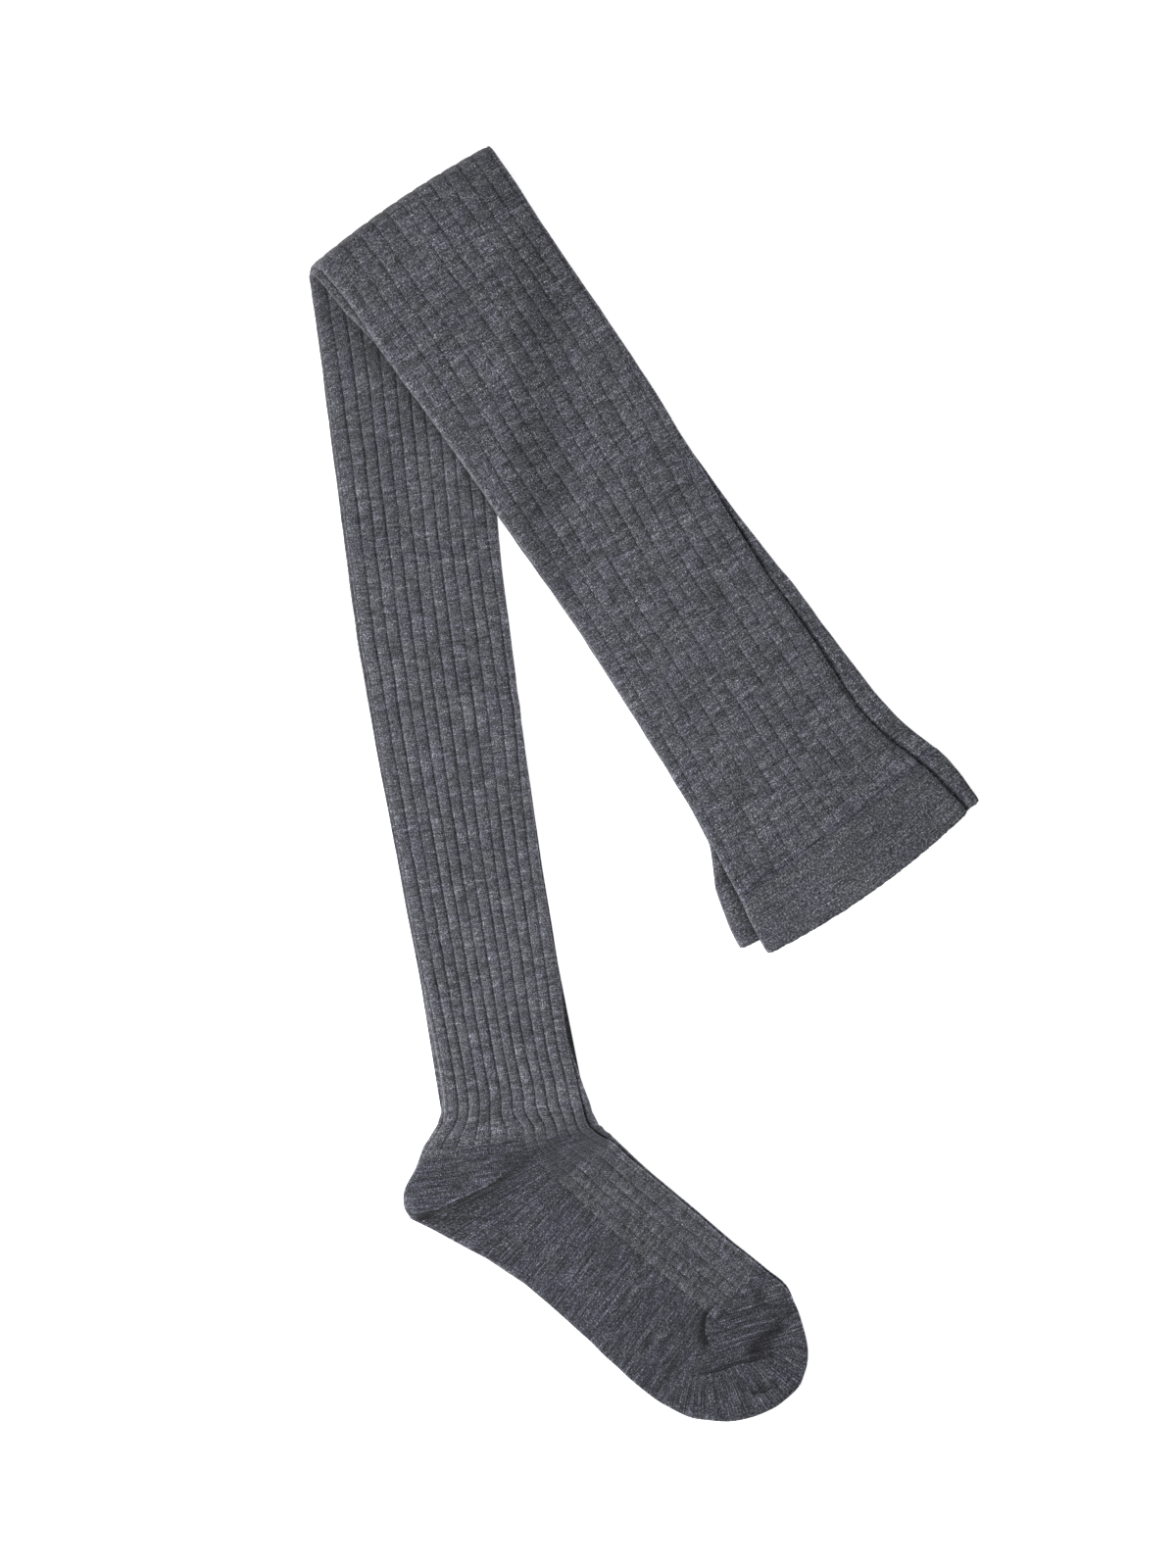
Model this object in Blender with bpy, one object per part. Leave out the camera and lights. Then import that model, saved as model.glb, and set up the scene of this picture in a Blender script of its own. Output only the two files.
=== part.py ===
"""A pair of long ribbed wool socks, laid flat one on the other and folded over together.

All sizes are millimetres until place() turns them into metres. Plan coordinates lie on the
surface that the pair rests on: x to the right and y towards the fold. Each sock is a
flattened knitted tube, lofted through rows that run from its back edge to its front edge,
from the toe to the welt. The outer sock lies lowest at the foot and, past the fold, on top.
The inner sock lies on it at the foot and inside it at the fold.
"""

import math
from collections import namedtuple

import bmesh
import bpy
from mathutils import Vector

MM = 0.001

# Cloth
WALL = 1.35  # one panel, at the crest of a rib
RIB_DEPTH = 0.35  # how far a groove goes into the panel
GROOVE_HALF = 0.8  # from the bottom of a groove to the crest beside it
RIBS = 12  # on one panel of the flattened tube
SLIT = 0.3  # the hollow of the tube, pressed flat
EDGE_ROUND = 3.2  # how far in from its side edge the tube rounds off
EDGE_WALL = 1.5  # from the side edge to the slit
SLIT_TAPER = 1.7  # over this length the slit opens to its full height
EDGE_POINTS = ((0.3, 0.25 * EDGE_ROUND), (0.6, 0.7 * EDGE_ROUND))  # (label, inset) of each
LIP = 0.3  # how far the welt's lip rounds in
SLIT_LABEL = 0.6  # label of the point where the slit is fully open
SAME_LABEL = 1e-6  # labels this close are one
GROOVE_LABEL = 0.15  # from a groove's label to those of the crests beside it
PLEAT_HALF = 3.0  # from the bottom of the toe's pleat to the cloth beside it
CLEARANCE = 0.5  # least distance from a plain point to the rounding or pleat beside it
RISE_EDGE = 8.0  # a lifted panel leaves the edge over this length
RISE_END = 12.0  # and comes down again over this length, where its reach ends

# Stack of layers, from the surface up
THICKNESS = 2 * WALL + SLIT
LAYER_GAP = 0.3
OUTER_FLOOR = 0.0
INNER_FLOOR = THICKNESS + LAYER_GAP
UPPER_FLOOR = 2 * (THICKNESS + LAYER_GAP)
FOLD_AXIS_Z = UPPER_FLOOR - LAYER_GAP / 2

# Fold, seen from above: its left corner, its slope, and how far it bulges past its axis
FOLD_CORNER = Vector((-169.5, 264.0))
FOLD_SLOPE = math.radians(33.8)
FOLD_REACH = 5.0
FOLD_BOW = -2.9  # the fold's middle lies this much further out than its corners
FOLD_BOW_LENGTH = 80.0  # the bow fades over this length, on the leg and on the thigh
FOLD_STEPS = 6
ACROSS = Vector((math.cos(FOLD_SLOPE), math.sin(FOLD_SLOPE)))
ALONG = Vector((math.sin(FOLD_SLOPE), -math.cos(FOLD_SLOPE)))

# Where the folded thigh leaves the leg under it and comes down to the surface
DRAPE_START_X = -75.0
DRAPE_WIDTH = 38.0

# Moves the pair so that its box is centred on the origin
PLAN_SHIFT = Vector((-0.47, 0.18))

# Rows of the foot and leg, toe to fold, for the inner sock.
# pleat and split: share of the row at which rib grooves 3 and 6 lie. The toe's pleat runs
# along groove 3, and groove 6 is the edge of the ribbed instep.
# ribs_back and ribs_front: how deep the grooves are on either side of the split, 0 to 1.
# lift: how far the top panel rises, over the share of the row called reach.
# peek_back and peek_front: how far the outer sock shows past these edges.
# steps: sections from this row to the next.
LegRow = namedtuple(
    "LegRow",
    "part back_x back_y front_x front_y pleat split ribs_back ribs_front"
    " lift reach peek_back peek_front steps",
)
LEG_ROWS = [
    LegRow("toe tip", 75.0, -310.0, 80.0, -304.0, 0.50, 0.60, 0, 0, 0.0, 1, -0.4, -0.4, 1),
    LegRow("toe end", 72.0, -313.0, 81.0, -301.5, 0.60, 0.70, 0, 0, 0.0, 1, -0.4, -0.4, 1),
    LegRow("toe end", 66.0, -317.5, 83.0, -295.0, 0.78, 0.86, 0, 0, 0.3, 1, -0.4, -0.4, 1),
    LegRow("toe", 56.0, -322.0, 83.0, -286.5, 0.80, 0.88, 0, 0, 0.7, 1, -0.4, -0.4, 1),
    LegRow("toe", 45.0, -324.5, 81.0, -276.5, 0.76, 0.86, 0, 0, 1.0, 1, -0.4, -0.4, 1),
    LegRow("toe", 34.5, -324.0, 77.5, -267.0, 0.63, 0.78, 0, 0, 1.2, 1, -0.4, 0.0, 1),
    LegRow("toe", 23.5, -322.5, 71.5, -256.5, 0.42, 0.66, 0, 0, 1.1, 1, -0.4, 1.2, 1),
    LegRow("toe", 12.0, -317.0, 61.8, -248.8, 0.22, 0.60, 0, 0, 0.9, 1, -0.4, 1.2, 1),
    LegRow("toe top", 2.5, -311.0, 53.5, -242.0, 0.25, 0.61, 0, 1, 0.2, 1, -0.4, 1.2, 1),
    LegRow("ball", -11.0, -299.0, 39.7, -230.8, 0.30, 0.61, 0, 1, 0.0, 1, -0.4, 1.2, 1),
    LegRow("foot", -33.5, -278.5, 16.8, -211.2, 0.30, 0.60, 0, 1, 0.0, 1, -0.4, 1.2, 1),
    LegRow("arch", -55.0, -259.0, -4.0, -194.0, 0.30, 0.60, 0, 1, 0.0, 1, -0.4, 1.5, 1),
    LegRow("arch", -73.0, -245.5, -15.5, -183.5, 0.31, 0.63, 0, 1, 0.0, 1, -0.4, 2.2, 1),
    LegRow("heel", -91.5, -236.0, -19.5, -181.0, 0.33, 0.67, 0, 1, 0.0, 1, -0.4, 3.2, 1),
    LegRow("heel", -106.5, -228.0, -21.5, -180.0, 0.35, 0.70, 0, 1, 0.0, 1, -0.4, 3.8, 1),
    LegRow("under heel fold", -118.0, -222.3, -23.3, -179.0, 0.36, 0.72, 0, 1, 0.0, 1, -0.4, 4.1, 1),
    LegRow("heel fold", -119.7, -220.6, -23.9, -178.5, 0.36, 0.72, 0, 1, 1.2, 0.6, -0.4, 4.2, 1),
    LegRow("heel", -122.5, -215.0, -24.8, -177.8, 0.36, 0.72, 0, 1, 1.0, 0.6, -0.4, 4.3, 1),
    LegRow("heel", -122.0, -206.5, -26.3, -176.3, 0.35, 0.70, 0, 1, 0.5, 0.6, -0.4, 4.5, 1),
    LegRow("heel top", -116.5, -195.5, -28.0, -174.3, 0.33, 0.67, 0.1, 1, 0.1, 0.6, 0.0, 4.5, 1),
    LegRow("ankle", -109.5, -184.0, -30.0, -170.0, 0.30, 0.62, 0.8, 1, 0.0, 1, 1.5, 4.5, 1),
    LegRow("ankle", -103.3, -173.5, -32.0, -162.0, 0.28, 0.56, 1, 1, 0.0, 1, 2.3, 4.0, 1),
    LegRow("ankle", -102.3, -162.0, -34.5, -151.0, 0.26, 0.52, 1, 1, 0.0, 1, 1.2, 2.5, 1),
    LegRow("leg", -106.3, -141.0, -38.5, -129.0, 0.26, 0.51, 1, 1, 0.0, 1, -0.4, 1.0, 1),
    LegRow("leg", -113.2, -106.0, -44.2, -94.0, 0.25, 0.50, 1, 1, 0.0, 1, -0.4, -0.4, 1),
    LegRow("leg", -124.7, -46.0, -53.7, -34.0, 0.25, 0.50, 1, 1, 0.0, 1, -0.4, -0.4, 1),
    LegRow("leg", -135.8, 14.0, -62.2, 26.0, 0.25, 0.50, 1, 1, 0.0, 1, -0.4, -0.4, 1),
    LegRow("leg", -146.3, 74.0, -69.7, 86.0, 0.25, 0.50, 1, 1, 0.0, 1, -0.4, -0.4, 1),
    LegRow("leg", -152.5, 120.5, -74.5, 133.0, 0.25, 0.50, 1, 1, 0.0, 1, -0.4, -0.4, 2),
    LegRow("knee", -160.3, 177.5, -75.8, 210.0, 0.25, 0.50, 1, 1, 0.0, 1, -0.4, -0.4, 2),
    LegRow("knee", -167.5, 235.0, -77.0, 286.5, 0.25, 0.50, 1, 1, 0.0, 1, -0.4, -0.4, 1),
    LegRow("fold", -170.0, 258.0, -75.7, 320.8, 0.25, 0.50, 1, 1, 0.0, 1, -0.4, -0.4, 1),
]
CLOSED_ROWS = 3  # the first rows, past the end of the slit
TIP_SWELL = (0.35, 0.75, 0.97)  # thickness of those rows, as a share of the full one

# Rows of the thigh, fold to welt, in the fold's own axes: how far along from the fold the
# row's two ends lie, where they lie across it, and how far its middle bows past them.
ThighRow = namedtuple("ThighRow", "part along_left along_right left right bow ribs steps")
OUTER_THIGH = [
    ThighRow("fold", 5.0, 5.0, 1.3, 109.6, 0.0, 1, 1),
    ThighRow("thigh", 20.0, 20.0, 2.7, 109.8, 0.0, 1, 3),
    ThighRow("thigh", 60.0, 60.0, 5.0, 109.6, 0.0, 1, 3),
    ThighRow("thigh", 100.0, 100.0, 7.0, 110.3, 0.0, 1, 3),
    ThighRow("thigh", 140.0, 140.0, 8.3, 110.3, 0.0, 1, 3),
    ThighRow("thigh", 180.0, 180.0, 8.8, 108.8, 0.0, 1, 3),
    ThighRow("thigh", 220.0, 220.0, 9.9, 106.9, 0.0, 1, 1),
    ThighRow("thigh", 260.0, 260.0, 9.6, 105.7, 0.0, 1, 1),
    ThighRow("thigh", 300.0, 300.0, 8.2, 107.0, 0.0, 1, 1),
    ThighRow("thigh", 340.0, 340.0, 6.6, 106.2, 0.0, 1, 1),
    ThighRow("thigh", 361.0, 359.0, 5.0, 109.6, 0.3, 1, 1),
    ThighRow("above welt", 387.0, 381.5, 2.4, 116.2, 1.0, 1, 1),
    ThighRow("welt top", 390.5, 385.0, 1.9, 117.6, 1.0, 0, 1),
    ThighRow("welt", 405.0, 401.5, -0.4, 121.2, 2.5, 0, 1),
    ThighRow("welt", 419.5, 416.7, -1.5, 123.4, 4.5, 0, 1),
    ThighRow("welt edge", 420.5, 417.7, -1.5, 123.5, 4.5, 0, 0),
]
INNER_THIGH = [
    ThighRow("fold", 5.0, 5.0, 2.3, 108.6, 0.0, 1, 1),
    ThighRow("thigh", 20.0, 20.0, 3.7, 108.8, 0.0, 1, 3),
    ThighRow("thigh", 60.0, 60.0, 6.0, 108.6, 0.0, 1, 3),
    ThighRow("thigh", 100.0, 100.0, 8.0, 109.3, 0.0, 1, 3),
    ThighRow("thigh", 140.0, 140.0, 9.3, 109.3, 0.0, 1, 3),
    ThighRow("thigh", 180.0, 180.0, 9.8, 108.6, 0.0, 1, 3),
    ThighRow("thigh", 220.0, 220.0, 10.9, 109.9, 0.0, 1, 1),
    ThighRow("thigh", 260.0, 260.0, 10.6, 112.1, 0.0, 1, 1),
    ThighRow("thigh", 300.0, 300.0, 9.2, 114.9, 0.0, 1, 1),
    ThighRow("thigh", 340.0, 340.0, 7.6, 117.8, 0.0, 1, 1),
    ThighRow("thigh", 358.0, 359.0, 5.0, 120.8, 0.3, 1, 1),
    ThighRow("above welt", 376.0, 379.0, -3.2, 126.2, 1.0, 1, 1),
    ThighRow("welt top", 379.0, 382.0, -4.6, 127.3, 1.0, 0, 1),
    ThighRow("welt", 395.0, 398.5, -9.0, 130.4, 2.5, 0, 1),
    ThighRow("welt", 410.0, 414.7, -11.5, 131.6, 4.0, 0, 1),
    ThighRow("welt edge", 411.0, 415.7, -11.5, 131.6, 4.0, 0, 0),
]

WOOL_GREY = (0.120, 0.130, 0.150, 1.0)
WOOL_GREY_LOWER = (0.110, 0.120, 0.140, 1.0)
WOOL_ROUGHNESS = 0.95
SHARP_ANGLE = math.radians(50)

# One cross-section of a sock. turn is how far round the fold it lies, in radians. top and
# bottom are the two panels' rib depths behind and in front of the split.
Section = namedtuple(
    "Section",
    "start end bow turn floor pleat split top bottom lift reach pleated fine swell hollow lip",
)
LEVEL = Section(
    start=None,
    end=None,
    bow=0.0,
    turn=0.0,
    floor=0.0,
    pleat=0.25,
    split=0.5,
    top=(0, 0),
    bottom=(0, 0),
    lift=0.0,
    reach=1.0,
    pleated=False,
    fine=False,
    swell=1.0,
    hollow=True,
    lip=0.0,
)


def smooth(share):
    """0 to 1 with no kink at either end."""
    share = min(1.0, max(0.0, share))
    return share * share * (3 - 2 * share)


def spline(before, start, end, after, share):
    """A point of the Catmull-Rom curve that runs through start and end."""
    slope_in = (end - before) / 2
    slope_out = (after - start) / 2
    rise = end - start
    bend = 3 * rise - 2 * slope_in - slope_out
    twist = slope_in + slope_out - 2 * rise
    return start + share * (slope_in + share * (bend + share * twist))


def refined(rows):
    """The rows, with each one's steps filled in on smooth curves through their neighbours."""
    result = []
    for i, row in enumerate(rows[:-1]):
        before = rows[max(i - 1, 0)]
        after = rows[min(i + 2, len(rows) - 1)]
        for step in range(row.steps):
            share = step / row.steps
            values = [
                spline(a, b, c, d, share)
                for a, b, c, d in zip(before[1:-1], row[1:-1], rows[i + 1][1:-1], after[1:-1])
            ]
            result.append(type(row)(row.part, *values, 1))
    result.append(rows[-1])
    return result


def drop(x):
    """How much of its height above the leg the thigh has lost at x, 0 to 1."""
    return smooth((x - DRAPE_START_X) / DRAPE_WIDTH)


def place(section, share, height):
    """The point, in metres, at a share of the section's width and a height in the stack."""
    plan = section.start.lerp(section.end, share)
    plan = plan + ALONG * (section.bow * 4 * share * (1 - share))
    radius = FOLD_AXIS_Z - height
    bulge = radius * FOLD_REACH / FOLD_AXIS_Z
    plan = plan - ALONG * (bulge * math.sin(section.turn))
    z = FOLD_AXIS_Z - radius * math.cos(section.turn)
    if section.turn > math.pi / 2:
        z -= UPPER_FLOOR * drop(plan.x)
    plan = plan + PLAN_SHIFT
    return Vector((plan.x, plan.y, z)) * MM


def groove_share(section, groove):
    """The share of the section's width at which a groove lies, counted from the back edge."""
    knots = [(0, 0.0), (RIBS // 4, section.pleat), (RIBS // 2, section.split), (RIBS, 1.0)]
    for (low, share_low), (high, share_high) in zip(knots, knots[1:]):
        if groove <= high:
            return share_low + (share_high - share_low) * (groove - low) / (high - low)
    return 1.0


def stations(section, ribs, width):
    """Where one panel has points, as (label, share, groove depth), from back to front.

    The label counts in ribs, so that a groove is joined to the same groove of the next row.
    """
    found = []
    for groove in range(1, RIBS):
        share = groove_share(section, groove)
        inset = min(share, 1 - share) * width
        ribbed = ribs[0] if groove < RIBS // 2 else ribs[1]
        pleat = section.pleated and groove == RIBS // 4
        if ribbed > 0 or pleat:
            side = (PLEAT_HALF if pleat else GROOVE_HALF) / width
            found.append((groove - GROOVE_LABEL, share - side, 0.0))
            found.append((groove, share, ribbed * RIB_DEPTH))
            found.append((groove + GROOVE_LABEL, share + side, 0.0))
        elif inset > EDGE_ROUND + CLEARANCE and (section.fine or groove % 2 == 0):
            beside_pleat = abs(share - section.pleat) * width < PLEAT_HALF + CLEARANCE
            if not (section.pleated and beside_pleat):
                found.append((groove, share, 0.0))
    return found


def rise(section, share, width):
    """How far the top panel is lifted there: a soft swelling, nicked along the toe's pleat."""
    edges = smooth(share * width / RISE_EDGE) * smooth((section.reach - share) * width / RISE_END)
    nick = 1.0
    if section.pleated:
        nick = smooth(abs(share - section.pleat) * width / PLEAT_HALF)
    return section.lift * edges * nick


def outer_lane(section, side, ribs):
    """The outside of one panel: side is 1 for the top and -1 for the bottom."""
    width = (section.end - section.start).length
    middle = section.floor + THICKNESS / 2
    half = THICKNESS / 2 * section.swell - section.lip
    points = stations(section, ribs, width)
    for label, inset in EDGE_POINTS:
        points.append((label, inset / width, 0.0))
        points.append((RIBS - label, 1 - inset / width, 0.0))
    lane = []
    for label, share, depth in sorted(points):
        inset = min(1.0, min(share, 1 - share) * width / EDGE_ROUND)
        crown = math.sqrt(1 - (1 - inset) ** 2)
        height = middle + side * (half * crown - depth)
        if side > 0:
            height += rise(section, share, width)
        lane.append((label, place(section, share, height)))
    return lane


def inner_lane(section, side):
    """The inside of one panel, along the slit."""
    width = (section.end - section.start).length
    middle = section.floor + THICKNESS / 2
    mouth = (EDGE_WALL + SLIT_TAPER) / width
    points = [(label, share) for label, share, _ in stations(section, (0, 0), width)]
    points += [(SLIT_LABEL, mouth), (RIBS - SLIT_LABEL, 1 - mouth)]
    lane = []
    for label, share in sorted(points):
        height = middle + side * SLIT / 2
        if side > 0:
            height += rise(section, share, width)
        lane.append((label, place(section, share, height)))
    return lane


def ring(mesh, section, skin):
    """The vertices of one skin's top and bottom lanes, which share the two edge points."""
    width = (section.end - section.start).length
    middle = section.floor + THICKNESS / 2
    inset = 0.0 if skin == "outer" else EDGE_WALL / width
    back = (0, mesh.verts.new(place(section, inset, middle)))
    front = (RIBS, mesh.verts.new(place(section, 1 - inset, middle)))
    lanes = []
    for side, ribs in ((1, section.top), (-1, section.bottom)):
        lane = outer_lane(section, side, ribs) if skin == "outer" else inner_lane(section, side)
        lanes.append([back] + [(label, mesh.verts.new(point)) for label, point in lane] + [front])
    return lanes


def stitch(mesh, lane, other):
    """Fills the strip between two lanes, joining points whose labels match."""
    i = 0
    j = 0
    while i < len(lane) - 1 or j < len(other) - 1:
        ahead = lane[i + 1][0] if i < len(lane) - 1 else RIBS + 1
        beside = other[j + 1][0] if j < len(other) - 1 else RIBS + 1
        if ahead <= beside + SAME_LABEL:
            mesh.faces.new((lane[i][1], lane[i + 1][1], other[j][1]))
            i += 1
        if beside <= ahead + SAME_LABEL:
            mesh.faces.new((lane[i][1], other[j + 1][1], other[j][1]))
            j += 1


def close_end(mesh, lanes):
    """Closes a ring with one face."""
    top, bottom = lanes
    mesh.faces.new([vertex for _, vertex in top] + [vertex for _, vertex in bottom[-2:0:-1]])


def loft(mesh, sections):
    """Both skins through all sections, closed at the toe and joined round the welt's mouth."""
    outer = [ring(mesh, section, "outer") for section in sections]
    inner = [ring(mesh, section, "inner") for section in sections if section.hollow]
    for rings in (outer, inner):
        for lanes, following in zip(rings, rings[1:]):
            stitch(mesh, lanes[0], following[0])
            stitch(mesh, lanes[1], following[1])
        close_end(mesh, rings[0])
    stitch(mesh, outer[-1][0], inner[-1][0])
    stitch(mesh, outer[-1][1], inner[-1][1])


def edge_points(row, lower):
    """The row's two ends, moved out by its peeks where it belongs to the outer sock."""
    back = Vector((row.back_x, row.back_y))
    front = Vector((row.front_x, row.front_y))
    out = (front - back).normalized()
    if lower:
        return back - out * row.peek_back, front + out * row.peek_front
    return back, front


def fold_bow(plan):
    """How far a row through this plan point bows towards the fold."""
    distance = (plan - FOLD_CORNER).dot(ALONG) - FOLD_REACH
    return FOLD_BOW * (1 - smooth(distance / FOLD_BOW_LENGTH))


def leg_sections(floor, lower):
    """Toe to fold. Only the inner sock's top panel shows here, so only it has ribs."""
    found = []
    for number, row in enumerate(refined(LEG_ROWS)):
        start, end = edge_points(row, lower)
        open_row = number >= CLOSED_ROWS
        found.append(
            LEVEL._replace(
                start=start,
                end=end,
                bow=fold_bow((start + end) / 2),
                floor=floor,
                pleat=row.pleat,
                split=row.split,
                top=(0, 0) if lower else (row.ribs_back, row.ribs_front),
                lift=0.0 if lower else row.lift,
                reach=row.reach,
                pleated=row.part.startswith("toe") and open_row and not lower,
                swell=1.0 if open_row else TIP_SWELL[number],
                hollow=open_row,
            )
        )
    return found


def across_fold(along, across):
    """A plan point given in the fold's own axes."""
    return FOLD_CORNER + ALONG * along + ACROSS * across


def fold_sections(last, thigh, floor, lower):
    """Round the fold, from the leg's last section to the thigh's first one."""
    found = []
    start = across_fold(thigh.along_left, thigh.left)
    end = across_fold(thigh.along_right, thigh.right)
    for step in range(1, FOLD_STEPS):
        share = step / FOLD_STEPS
        leaving = 0.0 if lower else max(0.0, 1 - 2 * share)
        arriving = min(1.0, 3 * share) if lower else max(0.0, 2 * share - 1)
        found.append(
            LEVEL._replace(
                start=last.start.lerp(start, share),
                end=last.end.lerp(end, share),
                bow=FOLD_BOW,
                floor=floor,
                turn=math.pi * share,
                top=(leaving, leaving),
                bottom=(arriving, arriving),
            )
        )
    return found


def thigh_sections(rows, floor):
    """Fold to welt. The panel that was underneath now faces up, so it has the ribs."""
    found = []
    for row in refined(rows):
        start = across_fold(row.along_left, row.left)
        end = across_fold(row.along_right, row.right)
        found.append(
            LEVEL._replace(
                start=start,
                end=end,
                bow=row.bow + fold_bow((start + end) / 2),
                floor=floor,
                turn=math.pi,
                bottom=(row.ribs, row.ribs),
                fine=drop(end.x) > 0 and drop(start.x) < 1,
                lip=LIP if row.part == "welt edge" else 0.0,
            )
        )
    return found


def wool(name, colour):
    """A matt knitted wool."""
    material = bpy.data.materials.new(name)
    material.use_nodes = True
    shader = material.node_tree.nodes["Principled BSDF"]
    shader.inputs["Base Color"].default_value = colour
    shader.inputs["Roughness"].default_value = WOOL_ROUGHNESS
    shader.inputs["Metallic"].default_value = 0.0
    material.diffuse_color = colour
    return material


def sock(name, floor, thigh_rows, lower, material, collection):
    """One sock, from toe to welt, as one closed body."""
    leg = leg_sections(floor, lower)
    thigh = thigh_sections(thigh_rows, floor)
    fold = fold_sections(leg[-1], thigh_rows[0], floor, lower)
    mesh = bmesh.new()
    loft(mesh, leg + fold + thigh)
    bmesh.ops.triangulate(mesh, faces=[face for face in mesh.faces if len(face.verts) > 3])
    bmesh.ops.recalc_face_normals(mesh, faces=mesh.faces)
    data = bpy.data.meshes.new(name)
    mesh.to_mesh(data)
    mesh.free()
    data.shade_smooth()
    data.set_sharp_from_angle(angle=SHARP_ANGLE)
    data.materials.append(material)
    made = bpy.data.objects.new(name, data)
    collection.objects.link(made)
    return made


def main():
    for old in list(bpy.data.objects):
        bpy.data.objects.remove(old)
    pair = bpy.data.collections.new("wool_sock_pair")
    bpy.context.scene.collection.children.link(pair)
    sock("sock_outer", OUTER_FLOOR, OUTER_THIGH, True, wool("wool_outer", WOOL_GREY_LOWER), pair)
    sock("sock_inner", INNER_FLOOR, INNER_THIGH, False, wool("wool_inner", WOOL_GREY), pair)


main()
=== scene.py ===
import math

import bpy
import mathutils
import numpy as np
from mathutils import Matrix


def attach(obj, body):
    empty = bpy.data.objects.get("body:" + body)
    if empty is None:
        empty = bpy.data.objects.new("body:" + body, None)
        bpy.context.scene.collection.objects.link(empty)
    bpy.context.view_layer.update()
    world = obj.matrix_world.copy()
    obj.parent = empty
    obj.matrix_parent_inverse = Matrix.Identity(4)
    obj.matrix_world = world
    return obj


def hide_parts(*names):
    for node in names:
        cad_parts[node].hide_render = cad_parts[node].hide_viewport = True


# A pair of long ribbed wool socks, laid flat one on the other and folded over together.
# Plan sizes are millimetres on the table: x to the right, y towards the fold.

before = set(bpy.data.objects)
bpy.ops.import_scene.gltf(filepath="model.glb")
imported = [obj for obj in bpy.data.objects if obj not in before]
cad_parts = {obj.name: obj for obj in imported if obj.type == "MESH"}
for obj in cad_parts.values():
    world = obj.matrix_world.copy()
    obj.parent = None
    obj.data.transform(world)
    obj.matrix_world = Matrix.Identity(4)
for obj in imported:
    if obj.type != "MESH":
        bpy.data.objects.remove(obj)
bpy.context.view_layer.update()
print("frame loaded")

mm = 0.001
planShift = np.array([-0.47, 0.18])  # centres the pair on the origin

# The knitted cloth.
knit = {
    "ribs": 24,  # all round a sock
    "wales": 8,  # columns of stitches in one rib
    "course": 0.98,  # height of one row of stitches
    "wall": 1.35,
    "hollow": 0.3,  # between a sock's two panels, pressed flat
    "leftRound": 3.6,  # how far in from its left edge a panel rounds off
    "rightRound": 1.4,
    "wobble": 0.25,  # how uneven the side edges are
    "teeth": 0.3,  # along the welt's end
    "edgeWall": 1.5,
    "groove": 0.40,  # depth between two ribs
    "grooveWidth": 0.55,
    "swell": 0.36,  # how much a rib is crowned
    "footDark": 0.17,  # the foot is a little darker than the leg
    "paintedRimLight": 2.4,  # painted highlight on the right-hand rounded edges, for the light their fuzz catches
    "rimWidth": 1.3,
    "stripRise": 1.9,  # how far a free strip stands up past the sock on top of it
    "waleWidth": 0.95,  # a column of stitches on the plain heel and toe
    "heelTilt": 6,  # degrees; the heel's own courses lie nearly level
    "toeTilt": 17,
    "toeFan": (30.0, -268.0),  # the toe's courses spread from here
    "toeFanRadius": 36,
    "innerRowStep": 15,  # the hidden inner wall needs few rows
    "innerFoldStep": 3,
    "lowerPitch": 3.0,  # most of the lower sock's leg is hidden, so its rows are wider apart
}
stack = {"outer": 0.0, "inner": 3.3, "upper": 6.6, "foldAxis": 6.45}
bend = {
    "corner": (-169.5, 264.0),  # left end of the fold
    "slope": 33.8,  # degrees
    "reach": 5.0,
    "bow": -2.9,
    "bowLength": 80.0,
    "steps": 16,
    "dropStart": -75.0,  # where the folded thigh starts down to the table
    "dropWidth": 38.0,
}

slope = math.radians(bend["slope"])
across = np.array([math.cos(slope), math.sin(slope)])
along = np.array([math.sin(slope), -math.cos(slope)])
corner = np.array(bend["corner"])
thickness = 2 * knit["wall"] + knit["hollow"]

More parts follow.
